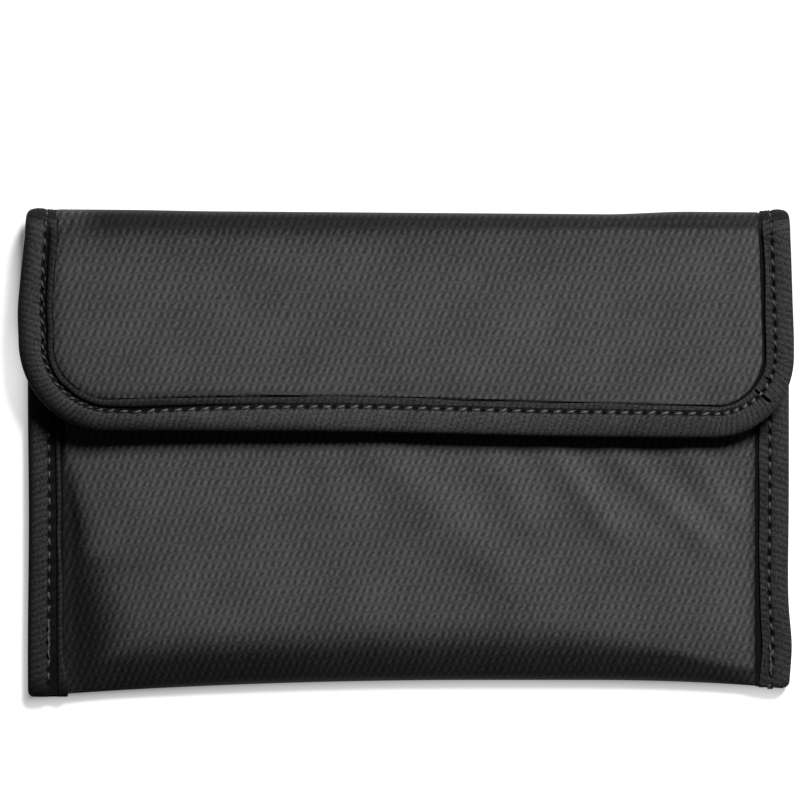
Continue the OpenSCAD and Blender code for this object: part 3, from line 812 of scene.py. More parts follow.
def tape_profile(height, stitch, width, groove, spread):
    """Section of the folded tape as (distance from its outer edge, height) points.

    A groove, deep where groove is 1, lies between the stitches and the strip along the tape's inner edge.
    """
    h, g, w = height, stitch, width
    floor = h - GROOVE_DEPTH[0] - GROOVE_DEPTH[1] * groove
    strip = h - STRIP_DROP[0] - STRIP_DROP[1] * groove
    side = g + GROOVE_SIDE + spread * groove
    top = [(w, strip - 0.85), (w + 0.05, strip - 0.35), (w - 0.08, strip - 0.08), (w - 0.30, strip),
           (side + 0.35, strip - 0.02), (side + 0.05, h + (floor - h) * 0.6), (side - 0.25, floor),
           (g + 0.60, floor), (g + 0.35, h + (floor - h) * 0.75), (g, h - GROOVE), (g - 0.40, h - 0.34),
           (g - 0.9, h - 0.12), (g - 1.7, h + 0.05), (0.5 * g, h + 0.10), (2.3, h + 0.02), (1.3, h - 0.18),
           (0.6, h - 0.55), (0.18, h - 1.0)]
    edge = [(0.0, h * 0.5)]
    low = [(0.18, 1.0), (0.6, 0.5), (1.3, 0.15), (2.6, 0.0), (g - 0.9, 0.0), (g - 0.3, GROOVE_UNDER),
           (g + 0.3, GROOVE_UNDER), (g + 0.9, 0.0), (w - 0.3, 0.0), (w, 0.3), (w, 0.65)]
    inner = [(g, 0.7), (1.4, 0.75), (1.4, h - 0.8), (g, h - 1.45)]
    return np.array(top + edge + low + inner)


PROFILE_TOP, PROFILE_INNER = 18, 5   # points of the section on its upper side, and those of its inner edge
# Painted shade on each upper point, by how deep it lies in the seam, with a deep groove and with none
GROOVE_SHADE = np.array([1, 0.8, 0.6, 0.55, 0.8, 1, 1, 1, 1, 0.5, 0.2, 0.05, 0, 0, 0, 0, 0, 0])
PLAIN_SHADE = np.array([1, 1, 0.6, 0.38, 0.38, 0.42, 0.45, 0.5, 0.5, 0.45, 0.25, 0.08, 0, 0, 0, 0, 0, 0])
PIT, PIT_W = 0.45, 0.55      # depth of the needle holes and how far they reach across the tape
PIT_SHADE = 3.0               # how dark the painted shade in them is
TAPE_WAVE = (0.06, 7.0)      # height and length of the tape's slow unevenness
EDGE_POWER = 1.2             # how quickly the painted shade on the outer edge dies out


def stitch_pull(run):
    """How hard the thread pulls the tape down along its run, deepest at the holes."""
    return (0.5 + 0.5 * np.cos(TURN * run / STITCH_PITCH)) ** 2


def tape_wander(run, phase):
    """Slow unevenness of the tape's inner edge."""
    return 0.18 * np.sin(run / 11.0 + phase) + 0.12 * np.sin(run / 4.3 + 2 * phase)


def tape_ring(height, run, sewing, phase, edge_painted_shade, spread):
    """Section at a place along the tape, with the pull of its stitches and its unevenness.

    The painted shade on the tape's rounded outer edge is given as how dark it is and how far in it reaches;
    the section also carries the painted shade of its groove and needle holes.
    """
    stitch, width, groove = sewing
    ring = tape_profile(height, stitch, width, groove, spread)
    place = np.arange(len(ring))
    pit = PIT * stitch_pull(run) * bump_at(ring[:, 0], stitch, PIT_W)
    pit[PROFILE_TOP:] = 0
    ring[place < PROFILE_INNER, 0] += tape_wander(run, phase)
    band = (ring[:, 0] < stitch) & (place < PROFILE_TOP)
    ring[:, 1] += band * TAPE_WAVE[0] * math.sin(run / TAPE_WAVE[1] + phase) - pit
    amount, reach = edge_painted_shade
    hollow = amount * np.clip(1 - ring[:, 0] / reach, 0, 1) ** EDGE_POWER
    hollow[:PROFILE_TOP] += GROOVE_SHADE * groove + PLAIN_SHADE * (1 - groove)
    hollow = np.maximum(hollow, np.clip(pit / PIT * PIT_SHADE, 0, 1))
    return ring, np.clip(hollow, 0, 1)


FLAP_PHASE, SIDE_PHASE = 0.4, 1.1    # where the unevenness of each tape starts
FLAP_STEP, SIDE_STEP = 0.4, 0.5      # distances between two sections of a tape
LEFT_SHADE, LEFT_SHADE_SPAN = 0.20, (-60.0, -100.0)   # painted shade on the flap's tape to the left, and where
RIGHT_SHADE, RIGHT_SHADE_SPAN = 0.36, (-10.0, 85.0)   # the same to the right
# Painted shade on the flap tape's outer edge and its reach, by share of its run
FLAP_EDGE_SHADE = np.array([
    (0.0, 0.9, 5.6), (0.09, 0.95, 5.6), (0.13, 1.0, 8.0), (0.20, 1.0, 8.0), (0.26, 0.95, 6.5),
    (0.33, 0.85, 4.2), (0.45, 0.75, 2.4), (0.55, 0.7, 1.2), (1.0, 0.7, 1.0),
])
# Painted shade dimming the flap's stitches, by share of their run
THREAD_SHADE = np.array([(0.0, 0.70), (0.2, 0.70), (0.26, 0.3), (0.82, 0.25), (0.88, 0.70), (1.0, 0.70)])
SIDE_THREAD_SHADE, FOLD_THREAD_SHADE, KNOT_SHADE = 0.6, 0.85, 0.6   # the same for the other seams
FLAP_SLANT = -0.3            # how far the flap's stitches lie askew
SQUARE_END = 8.0             # length over which the tape's ends turn square to the hinge
# Tucks where the flap's tape goes round its right corner: pixel of the photograph, span across, depth
TUCKS = (((760, 395), (2.7, 8.2), 1.1), ((764, 378), (5.6, 7.4), 0.6))
TUCK_W, TUCK_SOFT = 0.8, 0.8
TUCK_RISE, TUCK_BEHIND = 0.28, 2.4   # share of its depth by which the tape stands up behind it, and length
# painted shade in the tucks' slits
TUCK_SHADE = 1.6


# Painted shade along the flap's tape, darker towards its left and right ends
def flap_tape_shade(x):
    return LEFT_SHADE * ramp(x, *LEFT_SHADE_SPAN) + RIGHT_SHADE * ramp(x, *RIGHT_SHADE_SPAN)


def tuck_places(loop):
    """Run along the outline at which each tuck lies."""
    run = run_length(loop)
    return [run[np.argmin(np.hypot(*(loop - photo_place(pixel)).T))] for pixel, _, _ in TUCKS]


def tuck_tape(ring, deep, s, places):
    """Press the tucks into a section of the tape: a slit, painted dark with shade, with the tape standing up
    behind it.
    """
    top = np.arange(len(ring)) < PROFILE_TOP
    for place, (_, (low, high), depth) in zip(places, TUCKS):
        across = top * smooth((ring[:, 0] - low) / TUCK_SOFT + 0.5)
        across = across * smooth((high - ring[:, 0]) / TUCK_SOFT + 0.5)
        slit = max(0.0, 1 - abs(s - place) / TUCK_W)
        behind = math.exp(-(s - place) / TUCK_BEHIND) if s > place else 0.0
        ring[:, 1] += across * depth * (TUCK_RISE * behind * (1 - slit) - slit)
        deep = np.maximum(deep, across * min(1.0, TUCK_SHADE * slit))
    return ring, deep


def flap_tape_route():
    """Points along the tape's outer edge, close together at the tucks, with their run and the way inward."""
    loop = flap_loop(0.0)
    tucks = tuck_places(resample(loop, 0.1))
    length = run_length(loop)
    near = [place + np.linspace(-2, 2, 17) * TUCK_W for place in tucks]
    at = np.unique(np.concatenate([np.linspace(0, length[-1], int(length[-1] / FLAP_STEP)), *near]))
    outer = np.stack([np.interp(at, length, loop[:, k]) for k in (0, 1)], 1)
    run = run_length(outer)
    tangent = np.gradient(outer, run, axis=0)
    tangent /= np.linalg.norm(tangent, axis=1, keepdims=True)
    inward = np.stack([-tangent[:, 1], tangent[:, 0]], 1)
    turned = smooth(np.minimum(run, run[-1] - run) / SQUARE_END)[:, None]
    inward = turned * inward + (1 - turned) * np.stack([-np.sign(outer[:, 0]), 0 * run], 1)
    return outer, run, inward, tucks


def make_flap_binding():
    outer, run, inward, tucks = flap_tape_route()
    rings, places, hollow, line = [], [], [], []
    for spot, way, s in zip(outer, inward, run):
        share = s / run[-1]
        sewing = flap_sewing(share)
        edge_painted_shade = by_share(FLAP_EDGE_SHADE, share)
        ring, deep = tape_ring(FLAP_TAPE_H, s, sewing, FLAP_PHASE, edge_painted_shade, FLAP_GROOVE_W)
        ring, deep = tuck_tape(ring, np.maximum(deep, flap_tape_shade(spot[0])), s, tucks)
        hollow.append(deep)
        xy = spot + way * ring[:, :1]
        z = FLAP_TOP - FLAP_TAPE_H + ring[:, 1] - flap_down(xy[:, 0], xy[:, 1])
        rings.append(np.column_stack([xy, z]))
        places.append(np.column_stack([np.full(len(ring), s), run_length(ring)]))
        line.append(spot + way * sewing[0])
    swept_ring("flap_tape", np.array(rings), np.array(places), binding_tape, hollow=hollow, body="flap",
               nodes=("flap_binding",), slot="binding_tape")
    line = np.array(line)
    drop = flap_down(line[:, 0], line[:, 1])
    bag = Bag()
    add_stitches(bag, np.column_stack([line, FLAP_TOP - GROOVE - drop]), run, UP, slant=FLAP_SLANT,
                 shade_paint=lambda s: float(by_share(THREAD_SHADE, s / run[-1])[0]))
    add_stitches(bag, np.column_stack([line, FLAP_TOP - FLAP_TAPE_H + GROOVE_UNDER - drop]), run, DOWN)
    bag.piece("flap_thread", sewing_thread, "flap", ("flap_stitching",), "thread")


SIDE_SHADE = {-1: (0.38, 0.58), 1: (0.38, 0.44)}   # painted shade on the body's tapes, above and below
SIDE_SHADE_SPAN = (20.0, -60.0)       # heights between which it changes
SIDE_EDGE_SHADE = {-1: (1.6, 2.6), 1: (0.7, 1.0)}  # painted shade on their outer edges and its reach
END_SHADE, END_SHADE_OVER = {-1: 0.4, 1: 0.0}, 9.0  # further painted shade on their lower ends
END_ROUND = 2.6              # length over which a tape's lower end is rounded off
END_DROP, END_IN, END_LIFT = 1.1, 1.1, 0.6   # how far that end falls, draws in and rises underneath
END_WIDER, END_WIDER_OVER = {-1: 1.6, 1: 0.32}, 14.0   # how much wider the tapes are at their lower ends
SLACK, SLACK_OVER = {-1: 0.9, 1: 0.0}, 90.0  # how far the strip beside the groove moves in, going down
SEWN_FROM = 1.2              # distance of the first stitch from the lower end
SIDE_BULGE_SPAN = (45.0, 30.0)       # heights between which the tapes come to stand out
RIGHT_SWELLS = ((0.9, -58.0, 9.0), (-0.25, -38.0, 16.0))   # swell of the right edge, its height and length
LEFT_WAVE = (0.15, 13.0)     # height and length of the left edge's unevenness
STEP_OVER = 5.0              # length over which the tapes step down beyond the mouth
LOOSE, LOOSE_OVER = 0.55, {-1: 34.0, 1: 22.0}   # how much further the lowest stitches stray, and length
BACK_STITCHES, BACK_LENGTH = 5, 2.6  # stitches sewn to and fro at the seam's end
BACK_ASIDE, BACK_SUNK, BACK_ARC = 0.8, 0.42, 0.4   # how far they lie aside and deep, and how far they rise
BACK_SPAN = {-1: (10.0, 20.0), 1: (2.0, 10.0)}  # distances from the seam's end between which they lie
KNOT_TURNS, KNOT_STEPS = 4.6 * math.pi, 46     # angle through which the thread's knot winds, and its steps
KNOT_BELOW, KNOT_SUNK = 1.2, 1.3     # where the knot lies below the seam's end and below the seam's top


def side_edge(y, side):
    """Outer edge of the body's side tape."""
    reach = HALF_W + SIDE_BULGE[side] * ramp(y, *SIDE_BULGE_SPAN)
    if side < 0:
        return reach + LEFT_WAVE[0] * np.sin(y / LEFT_WAVE[1])
    for height, middle, length in RIGHT_SWELLS:
        reach = reach + height * bump_at(y, middle, length)
    return reach


def side_tape_top(y):
    return SEAM_TOP - MOUTH_STEP * smooth((y - MOUTH_Y) / STEP_OVER)


def make_side_bindings():
    for side, word in ((-1, "left"), (1, "right")):
        low = TAPE_END_Y - TAPE_DROP[side]
        ys = np.linspace(low, HINGE_Y, int((HINGE_Y - low) / SIDE_STEP))
        stitch, width, groove = SIDE_SEWING[side]
        above, below = SIDE_SHADE[side]
        rings, places, hollow = [], [], []
        for y in ys:
            s = y - low
            end = np.clip(1 - s / END_ROUND, 0, 1)
            slack = SLACK[side] * float(ramp(s, SLACK_OVER, 0))
            widen = END_WIDER[side] * float(ramp(s, END_WIDER_OVER, 0)) + slack
            ring, deep = tape_ring(side_tape_top(y) - END_DROP * end ** 3, s, (stitch, width + widen, groove),
                                   SIDE_PHASE + side, SIDE_EDGE_SHADE[side], SIDE_GROOVE_W + slack)
            # painted shade along the tape, darker below and at its lower end
            shade = above + (below - above) * ramp(y, *SIDE_SHADE_SPAN)
            shade = shade + END_SHADE[side] * ramp(s, END_SHADE_OVER, 0)
            hollow.append(np.maximum(deep, float(shade)))
            inside = ring[:, 0] + (1 - ring[:, 0] / width) * END_IN * end ** 4
            x = side * (side_edge(y, side) - inside)
            rings.append(np.column_stack([x, np.full_like(x, y), ring[:, 1] + END_LIFT * end ** 3]))
            places.append(np.column_stack([np.full_like(x, s), run_length(ring)]))
        swept_ring(f"side_tape_{word}", np.array(rings), np.array(places), binding_tape, hollow=hollow,
                   body="pouch", nodes=(f"side_binding_{word}",), slot="binding_tape")
        make_side_thread(ys[ys > low + SEWN_FROM], low, side, word)


def make_side_thread(ys, low, side, word):
    """Stitches of a side tape, above and below, straying more towards the seam's end."""
    xs = side * (side_edge(ys, side) - SIDE_SEWING[side][0])
    line = np.column_stack([xs, ys, side_tape_top(ys) - GROOVE])
    bag = Bag()
    add_stitches(bag, line, ys - low, UP, shade_paint=lambda s: SIDE_THREAD_SHADE,
                 loose=lambda s: STITCH_STRAY + LOOSE * float(ramp(s, LOOSE_OVER[side], 0)))
    add_stitches(bag, line * [1, 1, 0] + [0, 0, GROOVE_UNDER], ys - low, DOWN)
    add_back_stitches(bag, line[0, 0], line[0, 1], side)
    nodes = ("side_stitching",) if side < 0 else ()
    bag.piece(f"side_thread_{word}", sewing_thread, "pouch", nodes, "thread")


def add_back_stitches(bag, x, start, side):
    """The seam's end, sewn to and fro, with the thread's knot at the right corner."""
    first, last = BACK_SPAN[side]
    t = np.linspace(0, 1, 7)[:, None]
    for i in range(BACK_STITCHES):
        y = start + first + (last - first) * i / BACK_STITCHES
        shift = BACK_ASIDE * (-1) ** i * (0.6 + 0.4 * math.sin(3.1 * i))
        tip, tail = np.array([x + shift * 0.6, y, 0]), np.array([x - shift * 0.5, y + BACK_LENGTH, 0])
        centre = tip * (1 - t) + tail * t
        centre[:, 2] = SEAM_TOP - BACK_SUNK + BACK_ARC * np.sin(np.pi * t[:, 0])
        bag.tube(centre, THREAD_R * 0.95, np.broadcast_to(UP, centre.shape), shade_paint=KNOT_SHADE)
    if side > 0:
        turns = np.linspace(0, KNOT_TURNS, KNOT_STEPS)
        knot = np.column_stack([x + 0.6 * np.cos(turns), start - KNOT_BELOW + 0.55 * np.sin(turns * 1.31),
                                SEAM_TOP - KNOT_SUNK + 0.45 * np.sin(turns * 0.77)])
        bag.tube(knot, THREAD_R, np.broadcast_to(UP, knot.shape), sides=6, shade_paint=KNOT_SHADE)


# The body's cloth
CROWN_GAP = 0.7              # gap between the left tape and the front's crown
CROWN_MORE = 0.8             # how much further the crown reaches beside the right seam
CROWN_HALF = HALF_W - TAPE_W - CROWN_GAP
CROWN_RIGHT = CROWN_HALF + CROWN_MORE
CROWN_SHAPE = {-1: (4, 0.80), 1: (7, 0.55)}   # powers of the crown's section, fuller beside the right seam
FRONT_CLEAR = 0.9            # how far the front stays above the pocket's wall
FRONT_LEAST = cad("pocket_panel")[1][2] + FRONT_CLEAR
SIDE_Z = SEAM_TOP - BELOW_TAPE
CROWN = FRONT_TOP - SIDE_Z
# Soft folds of the front: start, end (pixels of the photograph), width and height in millimetres
FRONT_FOLDS = (
    ((556, 458), (612, 532), 4.4, 1.00), ((617, 458), (705, 540), 4.4, 0.90),
    ((690, 458), (745, 530), 4.5, 0.60), ((385, 458), (505, 575), 7.5, 1.00),
    ((325, 455), (337, 510), 5.0, 0.45), ((490, 458), (532, 530), 5.0, 0.50),
    ((272, 455), (205, 565), 6.0, -0.60), ((735, 545), (660, 640), 6.0, 0.40),
    ((120, 470), (170, 560), 9.0, 0.30),
)
FRONT_FOLD_ENDS = (-0.35, 0.15)      # shares of a fold's length between which it grows, from either end
CALM = 0.5                   # share of the crown's height from which the folds have their full height
GULLY = 1.5                  # depth of the hollow beside the left seam
GULLY_SHADE = 0.87            # painted shade on its cloth
GULLY_SPREAD = 2.0           # how much softer its form is than that painted shade
GULLY_TOP = 6.0              # length over which it starts below the flap's edge
# The hollow's edge in the photograph, and how softly (in millimetres) it ends there
GULLY_EDGE_PX = ((63, 456), (68, 470), (77, 498), (83, 526), (89, 554), (107, 570), (112, 600), (118, 630))
GULLY_SOFT = (2.5, 4.0, 4.5, 4.5, 8.0, 18.0, 18.0, 16.0)
# Distances from the crown's edge between which the seams draw the cloth down
RIGHT_DIP, RIGHT_DIP_SPAN, LEFT_DIP_SPAN = 1.0, (-0.15, 0.35), (-0.8, 0.0)
VALLEY, VALLEY_BELOW, VALLEY_W = 1.4, 0.5, 15.0   # depth, place and width of the valley under the flap's edge
VALLEY_SIDES, VALLEY_SIDES_SPAN = 0.48, (25.0, 75.0)   # how much deeper it is towards the sides
VALLEY_END, VALLEY_END_SPAN = 1.28, (74.0, 92.0)  # how much shallower it is at its right end


def front_folds(x, y):
    """Height of the soft folds."""
    total = np.zeros_like(x)
    for start, end, width, height in FRONT_FOLDS:
        a, b = photo_place(start), photo_place(end)
        span = b - a
        length = np.linalg.norm(span)
        along = ((x - a[0]) * span[0] + (y - a[1]) * span[1]) / length ** 2
        aside = ((x - a[0]) * span[1] - (y - a[1]) * span[0]) / length
        ends = ramp(along, *FRONT_FOLD_ENDS) * ramp(1 - along, *FRONT_FOLD_ENDS)
        total += height * bump_at(aside, 0, width) * ends
    return total


def front_grain(x, y):
    """Slow unevenness of the front's cloth."""
    return 0.10 * np.sin(x / 6.1 + y / 9.7) * np.sin(x / 14.0 - y / 8.3)


def crown_half(x):
    return np.where(x > 0, CROWN_RIGHT, CROWN_HALF)


def crown_share(x):
    """Share of the crown's height across the front."""
    t = np.clip(np.abs(x) / crown_half(x), 0, 1)
    left, right = ((1 - t ** steep) ** round_off for steep, round_off in (CROWN_SHAPE[-1], CROWN_SHAPE[1]))
    return np.where(x > 0, right, left)


def bottom_edge(x):
    (left, left_fall), (right, right_fall) = BOTTOM_FALL
    return BOTTOM_Y - left_fall * np.maximum(left - x, 0) ** 2 - right_fall * np.maximum(x - right, 0) ** 2


def gully_share(x, y, softer=1.0):
    """Share of the gully that runs down beside the left seam, wider below; it sets both its depth and its
    painted shade.
    """
    edge = np.array([photo_place(p) for p in GULLY_EDGE_PX])[::-1]
    side = np.interp(y, edge[:, 1], edge[:, 0])
    soft = softer * np.interp(y, edge[:, 1], GULLY_SOFT[::-1])
    return smooth((side - x) / soft + 0.5) * smooth((edge[-1, 1] - y) / GULLY_TOP)


def front_height(x, y):
    """Outer face of the front, above its bottom roll."""
    share = crown_share(x)
    beyond = np.abs(x) - crown_half(x)
    dip = np.where(x > 0, RIGHT_DIP * ramp(beyond, *RIGHT_DIP_SPAN), SEAM_DIP * ramp(beyond, *LEFT_DIP_SPAN))
    valley = VALLEY + VALLEY_SIDES * ramp(np.abs(x), *VALLEY_SIDES_SPAN)
    valley = valley - VALLEY_END * ramp(x, *VALLEY_END_SPAN)
    valley = valley * bump_at(y, FLAP_EDGE_Y - VALLEY_BELOW, VALLEY_W)
    folds = smooth(share / CALM) * (front_folds(x, y) + front_grain(x, y))
    height = SIDE_Z - dip + (CROWN - valley) * share + folds - GULLY * gully_share(x, y, GULLY_SPREAD)
    return np.maximum(height, FRONT_LEAST)


HEM = 7.0                    # turned edge of the mouth
HEM_SLACK = 0.3
HEM_T = 2 * CLOTH_T + FOIL_T + LINING_T + HEM_SLACK
HEM_FLAT, HEM_TURN = 5, 8    # rows of the hem under the front and round the mouth's edge
HEM_ROWS = HEM_FLAT + HEM_TURN
FRONT_ROWS, ROLL_ROWS, UNDER_ROWS, BACK_ROWS = 92, 26, 9, 36
LINED_ROWS = 6               # rows of the bottom roll that the front's foil and lining still reach
BODY_COLS, COLUMN_EASE = 220, 1.35   # columns of the cloth, and how much closer they stand at the sides
UNDER_LEAST = 0.15           # the least share of the turn under the bottom, at the sides
BELLY_EASE = 0.15            # share of the back over which its swell starts and ends


def body_cloth_grid():
    """The body's cloth from the mouth's turned edge down the front, round the bottom and up the back."""
    xs = SHEET_HALF * np.sin(np.linspace(-1, 1, BODY_COLS) * COLUMN_EASE) / np.sin(COLUMN_EASE)
    low, share = bottom_edge(xs), crown_share(xs)
    lip = SIDE_Z + CROWN * share
    rim = HEM_T / 2
    rows = [(MOUTH_Y - HEM + (HEM - rim) * t + 0 * xs, lip - HEM_T) for t in np.linspace(0, 1, HEM_FLAT)]
    for turn in np.radians(np.linspace(-90, 90, HEM_TURN + 2))[1:-1]:
        rows.append((MOUTH_Y - rim + rim * math.cos(turn) + 0 * xs, lip - rim + rim * math.sin(turn)))
    for t in np.linspace(0, 1, FRONT_ROWS):
        y = MOUTH_Y - rim + (low + BOTTOM_ROLL - MOUTH_Y + rim) * t
        rows.append((y, front_height(xs, y)))
    edge_z = SIDE_Z - BOTTOM_TUCK * share
    for roll in np.radians(np.linspace(90, 0, ROLL_ROWS + 1))[1:]:
        y = low + BOTTOM_ROLL * (1 - math.cos(roll))
        crest = front_height(xs, y)
        rows.append((y, crest - (crest - edge_z) * (1 - math.sin(roll))))
    for roll in np.radians(np.linspace(0, 90, UNDER_ROWS + 1))[1:]:
        y = low + UNDER_ROLL * (1 - math.cos(roll)) * np.maximum(share, UNDER_LEAST)
        rows.append((y, edge_z - (edge_z - BACK_Z) * math.sin(roll)))
    start = rows[-1][0]
    for t in np.linspace(0, 1, BACK_ROWS + 1)[1:]:
        belly = BACK_BELLY * share * smooth(t / BELLY_EASE) * smooth((1 - t) / BELLY_EASE)
        rows.append((start + (HINGE_Y - start) * t, BACK_Z - belly + 0 * xs))
    y, z = np.array([r[0] for r in rows]), np.array([r[1] for r in rows])
    x = np.broadcast_to(xs, y.shape).copy()
    grid = np.stack([x, y, z], 2)
    down = run_length(grid[:, BODY_COLS // 2, 1:])
    run = np.stack([x, np.broadcast_to(down[:, None] + HINGE_Y - MOUTH_Y, x.shape)], 2)
    return grid, run, float(down[-1])


# Distances from the crown's edge between which the seams' painted shade grows
CREVICE_SPAN, LEFT_SEAM_SPAN = (-0.2, 0.1), (-0.9, 0.3)
SOFT_CREVICE, SOFT_CREVICE_SPAN = 0.35, (-2.4, -0.4)   # a weaker, softer painted shade beside the right seam
# How far up from the bottom edge the painted shade over the bottom reaches, and how much less towards the
# ends
ROLLED, ROLLED_LESS = 19.0, ((6.0, (40.0, 75.0)), (6.0, (62.0, 102.0)), (1.0, (-40.0, -75.0)))
ROLLED_FULL, ROLLED_SOFT = 7.5, 3.0  # height at which that is full, and the least length over which it grows
BOTTOM_LESS, BOTTOM_LESS_SPAN = 0.09, (-60.0, 0.0)     # how much weaker it is away from the left end
# Painted shadow on the front below the flap's edge: its amount, how much more at the right, its place and
# width
UNDER_SHADE, UNDER_SHADE_MORE, UNDER_SHADE_SPAN = 0.07, 0.15, (35.0, 65.0)
UNDER_SHADE_BELOW, UNDER_SHADE_W = 9.0, 8.0
MOUTH_SEWN, MOUTH_SUNK = 4.0, 0.1    # distance of the mouth's stitches from its edge, and how deep they lie


def body_painted_shade(x, y):
    """Painted shade on the cloth in its seams, over the bottom, in the gully beside the left seam and below
    the flap's edge.
    """
    beyond = np.abs(x) - crown_half(x)
    crevice = np.maximum(ramp(beyond, *CREVICE_SPAN), SOFT_CREVICE * ramp(beyond, *SOFT_CREVICE_SPAN))
    seam = np.where(x > 0, crevice, ramp(beyond, *LEFT_SEAM_SPAN))
    rolled = ROLLED - sum(less * ramp(x, *span) for less, span in ROLLED_LESS)
    polish_and_painted_shade = smooth((bottom_edge(x) + rolled - y) / np.maximum(rolled - ROLLED_FULL, ROLLED_SOFT))
    bottom = BOTTOM_SHADE * (1 - BOTTOM_LESS * ramp(x, *BOTTOM_LESS_SPAN)) * polish_and_painted_shade
    under = UNDER_SHADE + UNDER_SHADE_MORE * ramp(x, *UNDER_SHADE_SPAN)
    under = under * bump_at(y, FLAP_EDGE_Y - UNDER_SHADE_BELOW, UNDER_SHADE_W)
    return np.maximum.reduce([seam, bottom, GULLY_SHADE * gully_share(x, y), under])


def make_body():
    grid, run, length = body_cloth_grid()
    # painted shade on the body's cloth, none on the hem and the back
    shade_paint = body_painted_shade(grid[:, :, 0], grid[:, :, 1])
    shade_paint[:HEM_ROWS] = shade_paint[-BACK_ROWS:] = 0
    cloth = cloth_sheet("body_cloth", grid, run, CLOTH_T, outer_cloth, hollow=shade_paint, body="pouch",
                        nodes=("front_panel", "back_panel"), slot="outer_cloth")
    inward = surface_normals(grid)
    last_front = HEM_ROWS + FRONT_ROWS + LINED_ROWS
    first_back = HEM_ROWS + FRONT_ROWS + ROLL_ROWS + UNDER_ROWS
    for word, rows in (("front", slice(HEM_ROWS, last_front)), ("back", slice(first_back, None))):
        gap = CLOTH_T + LAYER_GAP
        face = (grid + inward * gap)[rows]
        foil = cloth_sheet(f"{word}_foil", face, run[rows], FOIL_T, shield_foil, body="pouch",
                           nodes=(f"{word}_shield",), slot="shield_foil")
        gap += FOIL_T + LAYER_GAP
        face = (grid + inward * gap)[rows]
        lining = cloth_sheet(f"{word}_lining_cloth", face, run[rows], LINING_T, lining_cloth, body="pouch",
                             nodes=(f"{word}_lining",), slot="lining_cloth")
    xs = np.linspace(1 - CROWN_HALF, CROWN_HALF - 1, BODY_COLS)
    ys = np.full_like(xs, MOUTH_Y - MOUTH_SEWN)
    line = np.column_stack([xs, ys, front_height(xs, ys) - MOUTH_SUNK])
    make_stitches("mouth_thread", line, run_length(line), "pouch", ())


# The top fold
FOLD_POWER = 2.5             # how square the fold's section is
FOLD_FINE, FOLD_ROWS = 1441, 65      # steps of that section, and rows of the cloth
# Heights, as shares of the radius, between which the cloth comes to swell and is drawn down beside the tapes
SWELL_SPAN, SINK_SPAN = (0.0, 0.8), (-0.5, 0.3)
COVERED = (-0.2, -0.7)       # distances from the tape's inner edge between which the cloth goes under it
CREST_SINK = 0.25            # share of the seam's pull that reaches the fold's crest beside the tape
FOLD_PULL = (-0.05, 0.85)    # how far the fold's cloth draws in at the middle, and more so to the right
# How far its left and right ends stand out again, and where along X
FOLD_RISE = ((0.25, (-55.0, -85.0)), (0.95, (58.0, 84.0)))
FOLD_DARK_SPAN = (-3.0, 1.0)         # heights from the hinge between which its painted shade starts
INNER_GAP = 0.4              # clearance of the fold's lining
FOLD_BULGE = {side: FLAP_BULGE[side][0][1] for side in (-1, 1)}   # bulge of the flap at its hinge
FOLD_TAPE_OUT = {-1: 0.6, 1: 0.25}   # how far the tapes stand out at the crest
FOLD_TAPE_STEPS = 49
GROOVE_SPAN = (0.6, 1.5)     # turns from the crest between which the tape's groove comes back
CREST_SHADE, CREST_SHADE_SPAN = 0.9, (2.0, 5.8)     # painted shade on the tapes over the crest, and where it grows
SHADED_FROM = -1.2            # turn from which the tapes carry painted shade
FOLD_THREAD_STEPS, FOLD_THREAD_SPAN = 120, (-80, 86)   # steps and turns in degrees of the stitches' line
FOLD_THREAD_SUNK = 0.25      # how much deeper these stitches lie


def fold_section():
    """The fold's squarish section at even steps: places outward and upward, the latter unsquared, and run."""
    t = np.sin(np.radians(np.linspace(-90, 90, FOLD_FINE)))
    arc = np.stack([(1 - t ** 2).clip(0) ** (1 / FOLD_POWER), np.sign(t) * np.abs(t) ** (2 / FOLD_POWER)], 1)
    length = run_length(arc)
    even = np.linspace(0, length[-1], FOLD_ROWS)
    out, up, plain = (np.interp(even, length, values)[:, None] for values in (arc[:, 0], arc[:, 1], t))
    return out, up, plain, even


def fold_grid(radius):
    """Grid of the top fold's cloth, with its run and the painted shade of its seams."""
    out, up, plain, even = fold_section()
    xs = SHEET_HALF * (2 * cloth_columns() - 1)
    share = (xs > 0).astype(float)
    inside = HALF_W + np.where(xs > 0, FOLD_BULGE[1], FOLD_BULGE[-1]) - np.abs(xs)
    sunk = ramp(plain, *SINK_SPAN) * seam_sink(inside, share)
    covered = ramp(inside - flap_sewing(share)[1], *COVERED)
    pulled = sunk * (CREST_SINK + (1 - CREST_SINK) * covered)
    rise = sum(height * ramp(xs, *span) for height, span in FOLD_RISE)
    y = HINGE_Y + out * (radius + rise - FOLD_PULL[0] - FOLD_PULL[1] * xs / HALF_W - pulled)
    swell = ramp(plain, *SWELL_SPAN) * seam_swell(inside, share)
    z = HINGE_Z + (radius - sunk) * up + swell * (PUFF + FOLD_TILT * (y - HINGE_Y))
    x = np.broadcast_to(xs, y.shape)
    run = np.stack([x, np.broadcast_to((even - even[-1])[:, None] * radius, x.shape)], 2)
    return np.stack([x, y, z], 2), run, np.broadcast_to(seam_hollow(inside, share), x.shape)


def fold_share(turn):
    """How far round the fold a turn lies, 0 at the body and 1 at the flap."""
    return ramp(turn, -math.pi / 2, math.pi / 2)


